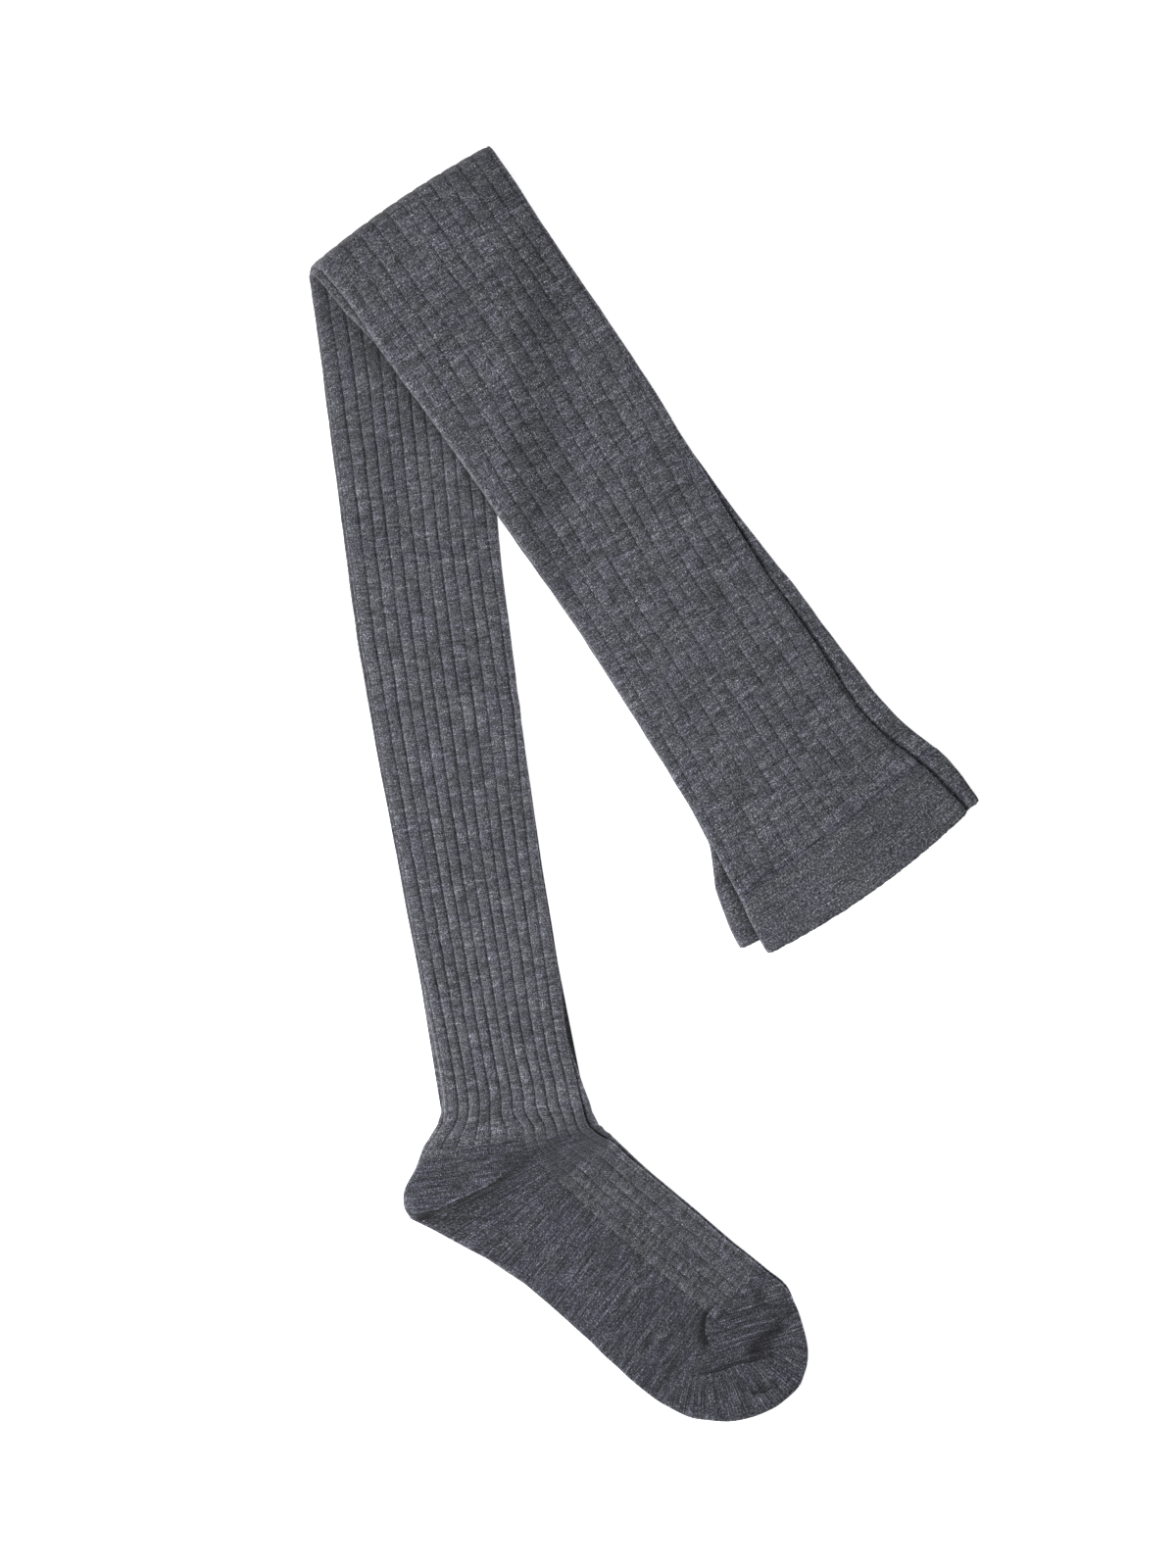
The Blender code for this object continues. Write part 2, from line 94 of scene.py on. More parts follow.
# Rows of the foot and leg.
# One line a row, toe to fold, for the upper sock. line1 to line11: where the lines between
# ribs lie, counted from the back edge, as shares of the width. sole and instep: how ribbed they
# are. pitch: millimetres between rows of the mesh from here on. peek: how far the lower sock
# shows past the back and the front edge.
legRows = [
    # part, backX, backY, frontX, frontY, line1, line3, line6, line11, sole, instep, pitch,
    # peekBack, peekFront
    ("toe tip", 76.9, -309.6, 79.9, -306.0, 0.100, 0.350, 0.620, 0.950, 0.0, 0.0, 0.9, -0.4, -0.4),
    ("toe end", 72.4, -313.6, 81.5, -301.7, 0.100, 0.350, 0.620, 0.950, 0.0, 0.0, 1.15, -0.4, -0.4),
    ("toe end", 66.3, -318.1, 83.4, -295.1, 0.110, 0.380, 0.660, 0.955, 0.0, 0.0, 1.15, -0.4, -0.4),
    ("toe", 56.1, -322.5, 83.4, -286.5, 0.110, 0.400, 0.680, 0.960, 0.0, 0.0, 1.15, -0.4, -0.4),
    ("toe", 45.0, -324.9, 81.2, -276.3, 0.110, 0.400, 0.680, 0.960, 0.0, 0.0, 1.15, -0.4, -0.4),
    ("toe", 34.3, -324.6, 77.8, -266.6, 0.110, 0.380, 0.660, 0.958, 0.0, 0.0, 1.15, -0.4, 0.0),
    ("toe", 23.2, -322.7, 71.8, -256.3, 0.105, 0.340, 0.620, 0.955, 0.0, 0.10, 1.15, -0.4, 1.2),
    ("toe", 11.8, -317.2, 62.1, -248.4, 0.107, 0.320, 0.585, 0.955, 0.0, 0.35, 1.2, -0.4, 1.2),
    ("toe top", 2.5, -311.0, 53.8, -241.6, 0.100, 0.300, 0.591, 0.960, 0.0, 0.50, 1.6, -0.4, 1.2),
    ("ball", -11.3, -299.4, 40.0, -230.4, 0.100, 0.300, 0.597, 0.962, 0.0, 0.50, 2.2, -0.4, 1.2),
    ("foot", -33.6, -278.7, 17.1, -210.8, 0.100, 0.300, 0.588, 0.952, 0.0, 0.50, 2.2, -0.4, 1.2),
    ("arch", -55.3, -259.4, -3.7, -193.6, 0.100, 0.300, 0.597, 0.952, 0.0, 0.50, 1.8, -0.4, 1.5),
    ("arch", -73.3, -246.0, -15.3, -183.2, 0.103, 0.310, 0.611, 0.952, 0.0, 0.50, 1.4, -0.4, 2.2),
    ("heel", -91.4, -236.1, -19.2, -180.8, 0.110, 0.330, 0.639, 0.950, 0.0, 0.42, 1.1, -0.4, 3.2),
    ("heel", -106.5, -228.0, -21.2, -179.8, 0.117, 0.350, 0.658, 0.950, 0.0, 0.36, 0.7, -0.4, 3.8),
    ("gore", -118.0, -222.3, -23.0, -178.8, 0.120, 0.360, 0.673, 0.950, 0.0, 0.32, 0.35, -0.4, 4.1),
    ("gore", -119.7, -220.6, -23.6, -178.3, 0.120, 0.360, 0.673, 0.950, 0.0, 0.32, 0.7, -0.4, 4.2),
    ("heel", -122.5, -215.0, -24.5, -177.6, 0.120, 0.360, 0.668, 0.948, 0.0, 0.30, 1.0, -0.4, 4.5),
    ("heel", -122.0, -206.5, -26.0, -176.0, 0.117, 0.350, 0.650, 0.940, 0.0, 0.30, 1.2, -0.4, 4.8),
    ("heel top", -116.0, -195.5, -28.0, -174.3, 0.110, 0.330, 0.625, 0.935, 0.15, 0.50, 1.4, 0.4, 4.5),
    ("ankle", -109.5, -184.0, -30.0, -170.0, 0.100, 0.300, 0.600, 0.930, 0.9, 0.85, 1.6, 2.7, 4.5),
    ("ankle", -103.3, -173.5, -32.0, -162.0, 0.112, 0.272, 0.512, 0.918, 1.0, 1.0, 1.8, 2.8, 4.0),
    ("ankle", -102.1, -162.0, -34.5, -151.0, 0.114, 0.272, 0.509, 0.916, 1.0, 1.0, 2.2, 0.9, 2.7),
    ("leg", -105.2, -141.0, -39.4, -129.0, 0.114, 0.271, 0.507, 0.909, 1.0, 1.0, 3.5, 0.6, 0.6),
    ("leg", -112.1, -106.0, -44.2, -94.0, 0.113, 0.271, 0.505, 0.905, 1.0, 1.0, 3.5, 1.1, 0.8),
    ("leg", -123.6, -46.0, -53.7, -34.0, 0.111, 0.275, 0.512, 0.917, 1.0, 1.0, 3.5, 1.1, 0.7),
    ("leg", -134.8, 14.0, -61.5, 26.0, 0.109, 0.273, 0.518, 0.940, 1.0, 1.0, 3.5, 1.3, -0.2),
    ("leg", -145.0, 74.0, -69.2, 86.0, 0.110, 0.276, 0.522, 0.938, 1.0, 1.0, 3.5, 1.4, -0.4),
    ("leg", -151.2, 120.5, -74.3, 133.0, 0.106, 0.274, 0.519, 0.917, 1.0, 1.0, 3.5, 1.4, -0.4),
    ("knee", -159.3, 177.5, -75.8, 210.0, 0.104, 0.261, 0.489, 0.871, 1.0, 1.0, 3.5, 0.8, -0.4),
    ("knee", -167.2, 235.0, -77.0, 286.5, 0.094, 0.252, 0.484, 0.873, 1.0, 1.0, 3.5, 0.3, -0.4),
    ("fold", -171.0, 257.4, -76.1, 321.5, 0.089, 0.249, 0.484, 0.878, 1.0, 1.0, 1.2, -0.4, -0.4),
]

# Rows of the thigh, fold to welt, in the fold's own axes: along from the fold, across from its
# left end.
outerThighRows = [
    # part alongLeft alongRight left right line1 line3 line6 line11 bow ribs pitch
    ("fold", 5.0, 4.2, 3.2, 109.9, 0.163, 0.332, 0.578, 0.974, 0.0, 0.62, 1.4),
    ("thigh", 20.0, 20.0, 4.5, 110.1, 0.160, 0.328, 0.576, 0.971, 0.0, 0.62, 2.0),
    ("thigh", 40.0, 40.0, 5.4, 110.0, 0.158, 0.328, 0.578, 0.972, 0.0, 0.61, 2.0),
    ("thigh", 60.0, 60.0, 5.1, 109.9, 0.167, 0.338, 0.587, 0.976, 0.0, 0.60, 2.2),
    ("thigh", 100.0, 100.0, 7.0, 110.3, 0.143, 0.317, 0.573, 0.977, 0.0, 0.60, 2.2),
    ("thigh", 140.0, 140.0, 8.3, 110.3, 0.121, 0.286, 0.534, 0.954, 0.0, 0.60, 2.2),
    ("thigh", 180.0, 180.0, 8.8, 108.8, 0.114, 0.278, 0.525, 0.936, 0.0, 0.60, 2.2),
    ("thigh", 220.0, 220.0, 9.9, 106.9, 0.094, 0.259, 0.500, 0.911, 0.0, 0.58, 2.2),
    ("thigh", 260.0, 260.0, 9.6, 105.7, 0.089, 0.256, 0.494, 0.905, 0.0, 0.56, 2.2),
    ("thigh", 300.0, 300.0, 8.2, 107.0, 0.074, 0.245, 0.494, 0.892, 0.0, 0.55, 2.2),
    ("thigh", 340.0, 340.0, 6.6, 106.2, 0.062, 0.233, 0.497, 0.902, 0.0, 0.52, 1.8),
    ("thigh", 361.0, 359.0, 5.0, 109.6, 0.058, 0.224, 0.488, 0.891, 0.3, 0.50, 1.6),
    ("above welt", 387.0, 381.5, 2.4, 116.2, 0.051, 0.205, 0.472, 0.872, 1.0, 0.45, 0.9),
    ("welt top", 391.5, 386.0, 1.9, 117.6, 0.051, 0.203, 0.470, 0.870, 1.0, 0.00, 1.1),
    ("welt", 405.0, 400.6, -0.4, 121.2, 0.051, 0.200, 0.467, 0.868, 2.5, 0.00, 1.1),
    ("welt", 419.2, 415.6, -1.7, 123.4, 0.051, 0.200, 0.467, 0.868, 4.5, 0.00, 0.5),
    ("welt edge", 420.9, 417.3, 0.0, 122.2, 0.051, 0.200, 0.467, 0.868, 4.5, 0.00, 0.6),
]
innerLines = (0.085, 0.246, 0.488, 0.889)  # nearly all hidden, so the same all the way
innerThighPlan = [
    # part alongLeft alongRight left right bow ribs pitch
    ("fold", 5.0, 4.2, -1.6, 108.9, 0.0, 0.7, 1.6),
    ("thigh", 12.0, 12.0, -0.3, 109.0, 0.0, 0.7, 2.0),
    ("thigh", 20.0, 20.0, 0.3, 109.1, 0.0, 0.7, 3.0),
    ("thigh", 29.0, 29.0, 0.9, 109.1, 0.0, 0.7, 3.0),
    ("thigh", 40.0, 40.0, 3.0, 109.0, 0.0, 0.7, 4.0),
    ("thigh", 52.0, 52.0, 4.9, 108.9, 0.0, 0.7, 4.0),
    ("thigh", 66.0, 66.0, 5.7, 108.9, 0.0, 0.7, 5.0),
    ("thigh", 100.0, 100.0, 6.9, 109.7, 0.0, 0.7, 5.0),
    ("thigh", 140.0, 140.0, 7.9, 109.7, 0.0, 0.7, 5.0),
    ("thigh", 180.0, 180.0, 8.3, 109.1, 0.0, 0.7, 4.0),
    ("thigh", 220.0, 220.0, 9.4, 110.4, 0.0, 0.7, 4.0),
    ("thigh", 255.0, 255.0, 9.2, 112.7, 0.0, 0.7, 4.0),
    ("thigh", 275.0, 275.0, 8.7, 114.6, 0.0, 0.7, 4.0),
    ("thigh", 300.0, 300.0, 7.9, 115.8, 0.0, 0.7, 4.0),
    ("thigh", 340.0, 340.0, 6.6, 118.4, 0.0, 0.7, 3.0),
    ("thigh", 358.0, 359.0, 4.2, 121.4, 0.3, 0.6, 2.4),
    ("above welt", 376.0, 379.0, -4.6, 127.6, 1.0, 0.5, 1.2),
    ("welt top", 380.0, 383.0, -6.2, 128.9, 1.0, 0.0, 1.4),
    ("welt", 395.0, 398.5, -9.9, 131.7, 2.5, 0.0, 1.4),
    ("welt", 409.4, 414.1, -11.8, 132.0, 4.0, 0.0, 0.5),
    ("welt edge", 411.0, 415.7, -10.2, 130.5, 4.0, 0.0, 0.6),
]
innerThighRows = [(*row[:5], *innerLines, *row[5:]) for row in innerThighPlan]


def smooth(share):
    share = np.clip(share, 0.0, 1.0)
    return share * share * (3 - 2 * share)


def throughRows(table, at):  # smooth curves through a table's rows, read at fractional row numbers
    table = np.asarray(table, float)
    last = len(table) - 1
    row = np.clip(np.floor(at).astype(int), 0, last - 1)
    share = (at - row)[:, None]
    before, start = table[np.maximum(row - 1, 0)], table[row]
    end, after = table[row + 1], table[np.minimum(row + 2, last)]
    slopeIn, slopeOut, change = (end - before) / 2, (after - start) / 2, end - start
    bendIn = 3 * change - 2 * slopeIn - slopeOut
    twist = slopeIn + slopeOut - 2 * change
    return start + share * (slopeIn + share * (bendIn + share * twist))


def rowNumbers(starts, ends, pitches):  # where the mesh has rows, as fractional table rows
    found = []
    for i in range(len(starts) - 1):
        length = max(np.linalg.norm(starts[i + 1] - starts[i]), np.linalg.norm(ends[i + 1] - ends[i]))
        count = max(1, math.ceil(length / pitches[i]))
        found += [i + step / count for step in range(count)]
    return np.array(found + [len(starts) - 1.0])


def softNoise(x, y, seed, wrap=None):  # smooth random hills, -1 to 1, one to a unit square
    grid = np.random.default_rng(seed).uniform(-1, 1, (64, 512))
    xCell, yCell = np.floor(x).astype(int), np.floor(y).astype(int)
    u, v = smooth(x - xCell), smooth(y - yCell)
    wide = wrap or 64
    left, right = xCell % wide, (xCell + 1) % wide
    low, high = yCell % 512, (yCell + 1) % 512
    bottom = grid[left, low] * (1 - u) + grid[right, low] * u
    top = grid[left, high] * (1 - u) + grid[right, high] * u
    return bottom * (1 - v) + top * v


# Rows of a whole sock.
def foldBow(middle):
    distance = (middle - corner) @ along - bend["reach"]
    return bend["bow"] * (1 - smooth(distance / bend["bowLength"]))


def legStretch(thighRows, lower):  # toe to fold
    table = np.array([row[1:] for row in legRows])
    back, front, lines, peek = table[:, 0:2], table[:, 2:4], table[:, 4:8], table[:, 11:13]
    names = [row[0] for row in legRows]
    ankle, gore = names.index("ankle"), names.index("gore")
    if lower:
        out = (front - back) / np.linalg.norm(front - back, axis=1)[:, None]
        back, front = back - out * peek[:, :1], front + out * peek[:, 1:]
        upLeg = smooth((np.arange(len(table)) - ankle) / (len(table) - 1 - ankle))[:, None]
        lines = lines * (1 - upLeg) + np.array(thighRows[0][5:9]) * upLeg
    at = rowNumbers(back, front, table[:, 10] * (knit["lowerPitch"] if lower else 1.0))
    read = throughRows(np.hstack([back, front, lines, table[:, 8:10], peek]), at)
    rows = {
        "start": read[:, 0:2],
        "end": read[:, 2:4],
        "lines": read[:, 4:8],
        "soleRib": np.clip(read[:, 8], 0, 1),
        "instepRib": np.clip(read[:, 9], 0, 1),
        "turn": np.zeros(len(at)),
        "tip": smooth(0.25 + at / 2.2),  # the toe's end is thinner
        "foot": 1 - smooth((at - ankle + 1) / 3),
        "heel": ((at >= gore + 0.5) & (at < ankle - 0.3)).astype(float),
        "toe": (at < names.index("toe top") - 0.6).astype(float),
        "peek": read[:, 10:12],
        "welt": np.zeros(len(at)),
    }
    rows["bow"] = foldBow((rows["start"] + rows["end"]) / 2)
    return rows


def thighStretch(thighRows):  # fold to welt
    table = np.array([row[1:] for row in thighRows])
    left = corner + along * table[:, 0:1] + across * table[:, 2:3]
    right = corner + along * table[:, 1:2] + across * table[:, 3:4]
    at = rowNumbers(left, right, table[:, 10])
    read = throughRows(np.hstack([left, right, table[:, 4:10]]), at)
    names = [row[0] for row in thighRows]
    rows = {
        "start": read[:, 0:2],
        "end": read[:, 2:4],
        "lines": read[:, 4:8],
        "soleRib": np.clip(read[:, 9], 0, 1),
        "instepRib": np.clip(read[:, 9], 0, 1),
        "turn": np.full(len(at), math.pi),
        "tip": np.ones(len(at)),
        "foot": np.zeros(len(at)),
        "heel": np.zeros(len(at)),
        "toe": np.zeros(len(at)),
        "peek": np.full((len(at), 2), -0.4),
        "welt": (at >= names.index("welt top") - 0.5).astype(float),
    }
    rows["bow"] = read[:, 8] + foldBow((rows["start"] + rows["end"]) / 2)
    return rows


def foldStretch(leg, thigh):  # round the fold
    share = np.arange(1, bend["steps"]) / bend["steps"]
    rows = {}
    for name in leg:
        last, first = leg[name][-1], thigh[name][0]
        weight = share[:, None] if np.ndim(last) else share
        rows[name] = last * (1 - weight) + first * weight
    rows["turn"] = math.pi * share
    rows["bow"] = np.full(len(share), bend["bow"])
    return rows


def sockRows(thighRows, lower):
    leg, thigh = legStretch(thighRows, lower), thighStretch(thighRows)
    fold = foldStretch(leg, thigh)
    rows = {name: np.concatenate([leg[name], fold[name], thigh[name]]) for name in leg}
    middle = (rows["start"] + rows["end"]) / 2
    steps = np.linalg.norm(np.diff(middle, axis=0), axis=1)
    turning = np.abs(np.diff(rows["turn"])) * stack["foldAxis"] * 0.9
    rows["course"] = np.concatenate([[0.0], np.cumsum(np.hypot(steps, turning))])
    rows["shownUnder"] = lower  # its underside is the one that faces up past the fold
    for i, side in enumerate(("start", "end")):
        wave = softNoise(rows["course"] / 9, np.full(len(steps) + 1, 0.5), 31 + i + 2 * lower, 64)
        out = (rows["end"] - rows["start"]) / np.linalg.norm(rows["end"] - rows["start"], axis=1)[:, None]
        rows[side] = rows[side] + out * (knit["wobble"] * wave)[:, None]
    return rows


# A sock's skin.
def edgeTable(reach, plump):  # distance round a panel's edge, with its inset and height
    share = np.linspace(0, 1, 300) ** 2
    height = np.sqrt(1 - (1 - share) ** 2)
    if plump:
        height = 0.45 * np.sqrt(1 - (1 - np.minimum(share / 0.12, 1)) ** 2) + 0.55 * (1 - (1 - share) ** 2.2)
    steps = np.hypot(np.diff(reach * share), np.diff(height) * thickness / 2)
    return np.concatenate([[0.0], np.cumsum(steps)]), reach * share, height


leftEdge = edgeTable(knit["leftRound"], True)
rightEdge = edgeTable(knit["rightRound"], False)


def offEdge(distance, edge):  # inset and crown at a distance round from the edge
    arc, inset, height = edge
    inset = np.interp(distance, arc, inset) + np.maximum(distance - arc[-1], 0)
    return inset, np.interp(distance, arc, height)


def stitchColumns(fineTop):  # the mesh's columns, counted in ribs from the back edge over the top
    fine = [0.0, 0.055, 0.12, 0.21, 0.35, 0.5, 0.65, 0.79, 0.88, 0.945]
    coarse = [0.0, 0.2, 0.5, 0.8]
    half = knit["ribs"] // 2
    found = []
    for rib in range(knit["ribs"]):
        found += [rib + share for share in (fine if (rib < half) == fineTop else coarse)]
    return np.array(found)


def onTube(rows, columns):  # where each column lies on the flattened tube
    ribs = knit["ribs"]
    course = rows["course"][:, None]
    wander = 0.04 * softNoise(columns[None, :], course / 30, 11, ribs)
    wander = wander + 0.025 * softNoise(columns[None, :] / 2, course / 9, 12, ribs // 2)
    lines = rows["lines"]
    backLabel = 1 - 2 * lines[:, 0] / (lines[:, 1] - lines[:, 0])
    frontLabel = 11 + 5 * (1 - lines[:, 3]) / (lines[:, 3] - lines[:, 2])
    if rows["shownUnder"]:
        back, front = -backLabel[:, None], ribs - frontLabel[:, None]
    else:
        back, front = backLabel[:, None], frontLabel[:, None]
    ring = back + (columns[None, :] + wander - back) % ribs
    under = ring > front
    even = np.where(under, 1 - (ring - front) / (ribs + back - front), (ring - back) / (front - back))
    label = np.where(under, ribs - ring, ring)
    shown, mirrored = np.empty_like(even), np.empty_like(even)
    for i, line in enumerate(lines):
        known = [backLabel[i], 1, 3, 6, 11, frontLabel[i]]
        shown[i] = np.interp(label[i], known, [0, *line, 1])
        mirrored[i] = np.interp(label[i], [0, 3, 6, 12], [0, line[1], line[2], 1])
    foot = rows["foot"][:, None]
    hidden = even * (1 - foot) + mirrored * foot
    share = np.where(under == rows["shownUnder"], shown, hidden)
    return under, share, np.abs(np.gradient(share, axis=1) / np.gradient(columns))


def placed(rows, share, height):  # plan and height in the stack to the folded pair's space
    plan = rows["start"][:, None] * (1 - share[..., None]) + rows["end"][:, None] * share[..., None]
    plan = plan + along * (rows["bow"][:, None] * 4 * share * (1 - share))[..., None]
    radius = stack["foldAxis"] - height
    bulge = radius * bend["reach"] / stack["foldAxis"] * np.sin(rows["turn"])[:, None]
    plan = plan - along * bulge[..., None]
    z = stack["foldAxis"] - radius * np.cos(rows["turn"])[:, None]
    fallen = smooth((plan[..., 0] - bend["dropStart"]) / bend["dropWidth"])
    z = z - np.where(rows["turn"][:, None] > math.pi / 2, stack["upper"] * fallen, 0)
    return np.dstack([plan + planShift, z])


# How much lighter the lower sock's front strip is, by how far it shows: painted light.
paintedStripLight = ([0.6, 1.2, 2.5, 4.0], [2.4, 2.7, 0.6, 0.0])
# Where the inner thigh's two folds part, near its top: down the thigh, and across it.
foldLine = ([5.0, 12.0, 18.0, 24.0, 32.0, 40.0], [0.5, 1.4, 1.9, 2.5, 3.3, 4.4])


def skin(rows, columns, floor, outside, lower):
    under, share, pace = onTube(rows, columns)
    width = np.linalg.norm(rows["end"] - rows["start"], axis=1)[:, None]
    total = width + leftEdge[0][-1] - knit["leftRound"] + rightEdge[0][-1] - knit["rightRound"]
    fromLeft, leftCrown = offEdge(share * total, leftEdge)
    fromRight, rightCrown = offEdge((1 - share) * total, rightEdge)
    flat = np.where(share < 0.5, fromLeft, width - fromRight) / width
    crown = leftCrown * rightCrown
    side = np.where(under, -1.0, 1.0)
    if outside:
        ribbed = ribDepth(rows, columns)
        aside = np.abs(columns - np.round(columns))[None, :] * pace * width
        dip = knit["groove"] * np.exp(-((aside / knit["grooveWidth"]) ** 2))
        dip = dip + knit["swell"] * (2 * np.abs((columns % 1) - 0.5))[None, :] ** 2
        uneven = 1 + 0.35 * softNoise(columns[None, :], rows["course"][:, None] / 14, 21, knit["ribs"])
        depth = dip * ribbed * uneven * crown
        reach = thickness / 2 * crown * rows["tip"][:, None] - depth
    else:
        flat = (knit["edgeWall"] + flat * (width - 2 * knit["edgeWall"])) / width
        reach = knit["hollow"] / 2 * crown
    height = floor + thickness / 2 + side * reach
    teeth = knit["teeth"] * np.random.default_rng(41).uniform(-1, 1, len(columns))
    plan = rows["start"][:, None] * (1 - flat[..., None]) + rows["end"][:, None] * flat[..., None]
    top = (side > 0) * crown
    footShade = knit["footDark"] * rows["foot"][:, None]
    # Painted light: the right-hand rounded edges are made lighter in colour, more so on the foot.
    glow = (knit["paintedRimLight"] + rows["foot"][:, None]) * (1 - smooth((1 - flat) * width / knit["rimWidth"]))
    if lower:
        marks = stripMarks(rows, flat * width, (1 - flat) * width)
        marks[..., 1] *= side > 0
        free = rows["peek"][:, 1:] + 0.3 - (1 - flat) * width
        height = height + knit["stripRise"] * smooth(free / 1.2) * top * outside
        # Painted light on the lower sock's free front strip, which lies in the upper sock's shadow.
        strip = np.interp(rows["peek"][:, 1:], *paintedStripLight)
        glow = np.maximum(glow, strip * smooth(free / 0.6) * (rows["peek"][:, 1:] > 0))
        # Painted shade at the fold, the foot's darkening and the painted light on the edges and strip, all
        # in one shade value.
        shade = 1 - (1 - foldShade(rows, plan)) * (1 - footShade) * (1 + glow)
    else:
        rise, shade, marks = creased(plan)
        height = height + top * (rise if outside else np.maximum(rise, 0))
        legShade = besideThigh(plan) * (rows["turn"] < 0.1)[:, None]
        # Painted shade from the troughs and beside the thigh, the foot's darkening and the painted light on
        # the edges, all in one shade value.
        shade = 1 - (1 - top * np.clip(shade + legShade, 0, 0.9)) * (1 - footShade) * (1 + glow)
        marks[..., 1] *= top
        thigh = (rows["turn"] > math.pi - 0.1)[:, None]
        height = height - stripLift(plan) * thigh * (side < 0) * crown * outside
        for layer, lines in enumerate(thighMarks(plan)):
            marks[layer] = np.where((thigh & (side < 0))[..., None], lines, marks[layer])
    made = placed(rows, flat, height)
    made[-2:, :, :2] += along * teeth[:, None]
    return made, shade, marks


def thighFrame(plan):  # along and across the folded thigh
    return (plan - corner) @ along, (plan - corner) @ across


def outerLeft(down):
    return np.interp(down, [row[1] for row in outerThighRows], [row[3] for row in outerThighRows])


def outerRight(down):
    return np.interp(down, [row[2] for row in outerThighRows], [row[4] for row in outerThighRows])


def besideThigh(plan):  # the leg falls into shade towards the thigh that lies over it
    down, over = thighFrame(plan)
    gap = np.maximum(outerLeft(down) - over, 0)
    reach = 2.5 + 12.0 * (1 - smooth(down / 115.0))
    return 0.52 * np.exp(-gap / reach) * smooth(down / 12.0)


def thighMarks(plan):  # painted shade lines on the inner thigh: between its two folds, and beside the outer
    down, over = thighFrame(plan)
    between = np.interp(down, *foldLine) - over
    beside = outerLeft(down) - over
    short = np.stack([between, 0.65 * (1 - smooth((down - 28) / 10)), np.full_like(down, 0.5)], -1)
    whole = np.stack([beside, np.full_like(down, 0.8), 0.9 + 2.2 * smooth((down - 366) / 14)], -1)
    return short, whole


def stripMarks(rows, fromLeft, fromRight):  # painted shade where the upper sock's edges lie on this one
    marks = np.zeros((2, *fromLeft.shape, 3))
    for layer, inset in enumerate((fromLeft, fromRight)):
        marks[layer, ..., 0] = inset - rows["peek"][:, layer : layer + 1] + 0.15
        marks[layer, ..., 1] = 0.8 * (rows["peek"][:, layer : layer + 1] > 0)
        marks[layer, ..., 2] = 0.5 + np.maximum(rows["peek"][:, layer : layer + 1] - 1.2, 0)
    return marks


def foldShade(rows, plan):  # painted shade: the outer thigh is a little darker where it turns over the fold
    down = thighFrame(plan)[0]
    return 0.3 * np.exp(-np.maximum(down, 0) / 4.0) * (rows["turn"] > math.pi / 2)[:, None]


def stripLift(plan):  # the inner thigh stands up a little where the outer one leaves it free
    down, over = thighFrame(plan)
    beyond = over - outerRight(down)
    return knit["stripRise"] * smooth((beyond + 0.2) / 1.6)


def ribDepth(rows, columns):  # 0 on the plain heel, sole, toe and welt
    half = knit["ribs"] / 2
    fromSole = np.abs((columns % knit["ribs"]) - half)  # the instep's middle is at 0
    instep = smooth((half / 2 + 0.35 - fromSole) / 0.3)[None, :]
    return rows["soleRib"][:, None] * (1 - instep) + rows["instepRib"][:, None] * instep


# Creases.
# Each lip runs through a few points, with the cloth standing high on its left. rise: how high,
# fading over reach; step: how soon it falls on the right; dark: shade under the lip, fading
# over wide.
creases = [
    {  # the heel's gore folds over the sole
        "points": [(-119.5, -221.8), (-116.1, -220.3), (-111.3, -218.4), (-104.6, -217.4), (-96.9, -214.6),
                   (-90.2, -211.2), (-83.5, -207.4), (-76.8, -203.6), (-71.1, -199.3),
                   (-63.5, -194.5), (-55.8, -190.2)],
        "rise": 1.1, "reach": 24.0, "step": 2.0, "dark": 0.76, "wide": 6.5,
        "fadeIn": 0.06, "fadeOut": 0.36, "layer": 0,
    },
    {  # pit beside the toe's puffed tip
        "points": [(33.4, -266.5), (31.4, -271.5), (30.5, -275.9), (30.9, -280.1), (32.3, -284.3),
                   (34.0, -289.6)],
        "rise": 0.3, "reach": 12.0, "step": 2.6, "dark": 0.92, "wide": 4.0,
        "fadeIn": 0.18, "fadeOut": 0.2, "layer": 0,
    },
    {  # the toe's gore
        "points": [(70.4, -287.3), (65.7, -290.1), (62.2, -291.9), (55.9, -294.0), (48.9, -295.0),
                   (43.3, -297.2),
                   (37.6, -299.0), (29.9, -300.8), (23.0, -303.0)],
        "rise": 1.0, "reach": 10.0, "step": 0.9, "dark": 0.90, "wide": 2.6,
        "fadeIn": 0.25, "fadeOut": 0.25, "layer": 0,
    },
    {  # its other branch, soft
        "points": [(47.0, -295.5), (53.8, -289.9), (57.3, -286.4), (62.2, -282.5), (67.8, -278.7),
                   (74.0, -274.5)],
        "rise": 0.9, "reach": 12.0, "step": 3.5, "dark": 0.0, "wide": 1.0,
        "fadeIn": 0.3, "fadeOut": 0.3, "layer": 0,
    },
    {  # curl at the end of the linked seam
        "points": [(68.6, -304.6), (65.2, -307.5), (60.9, -309.8), (56.5, -310.5), (52.5, -309.8)],
        "rise": 0.9, "reach": 6.0, "step": 0.8, "dark": 0.90, "wide": 1.7,
        "fadeIn": 0.3, "fadeOut": 0.12, "layer": 1,
    },
]
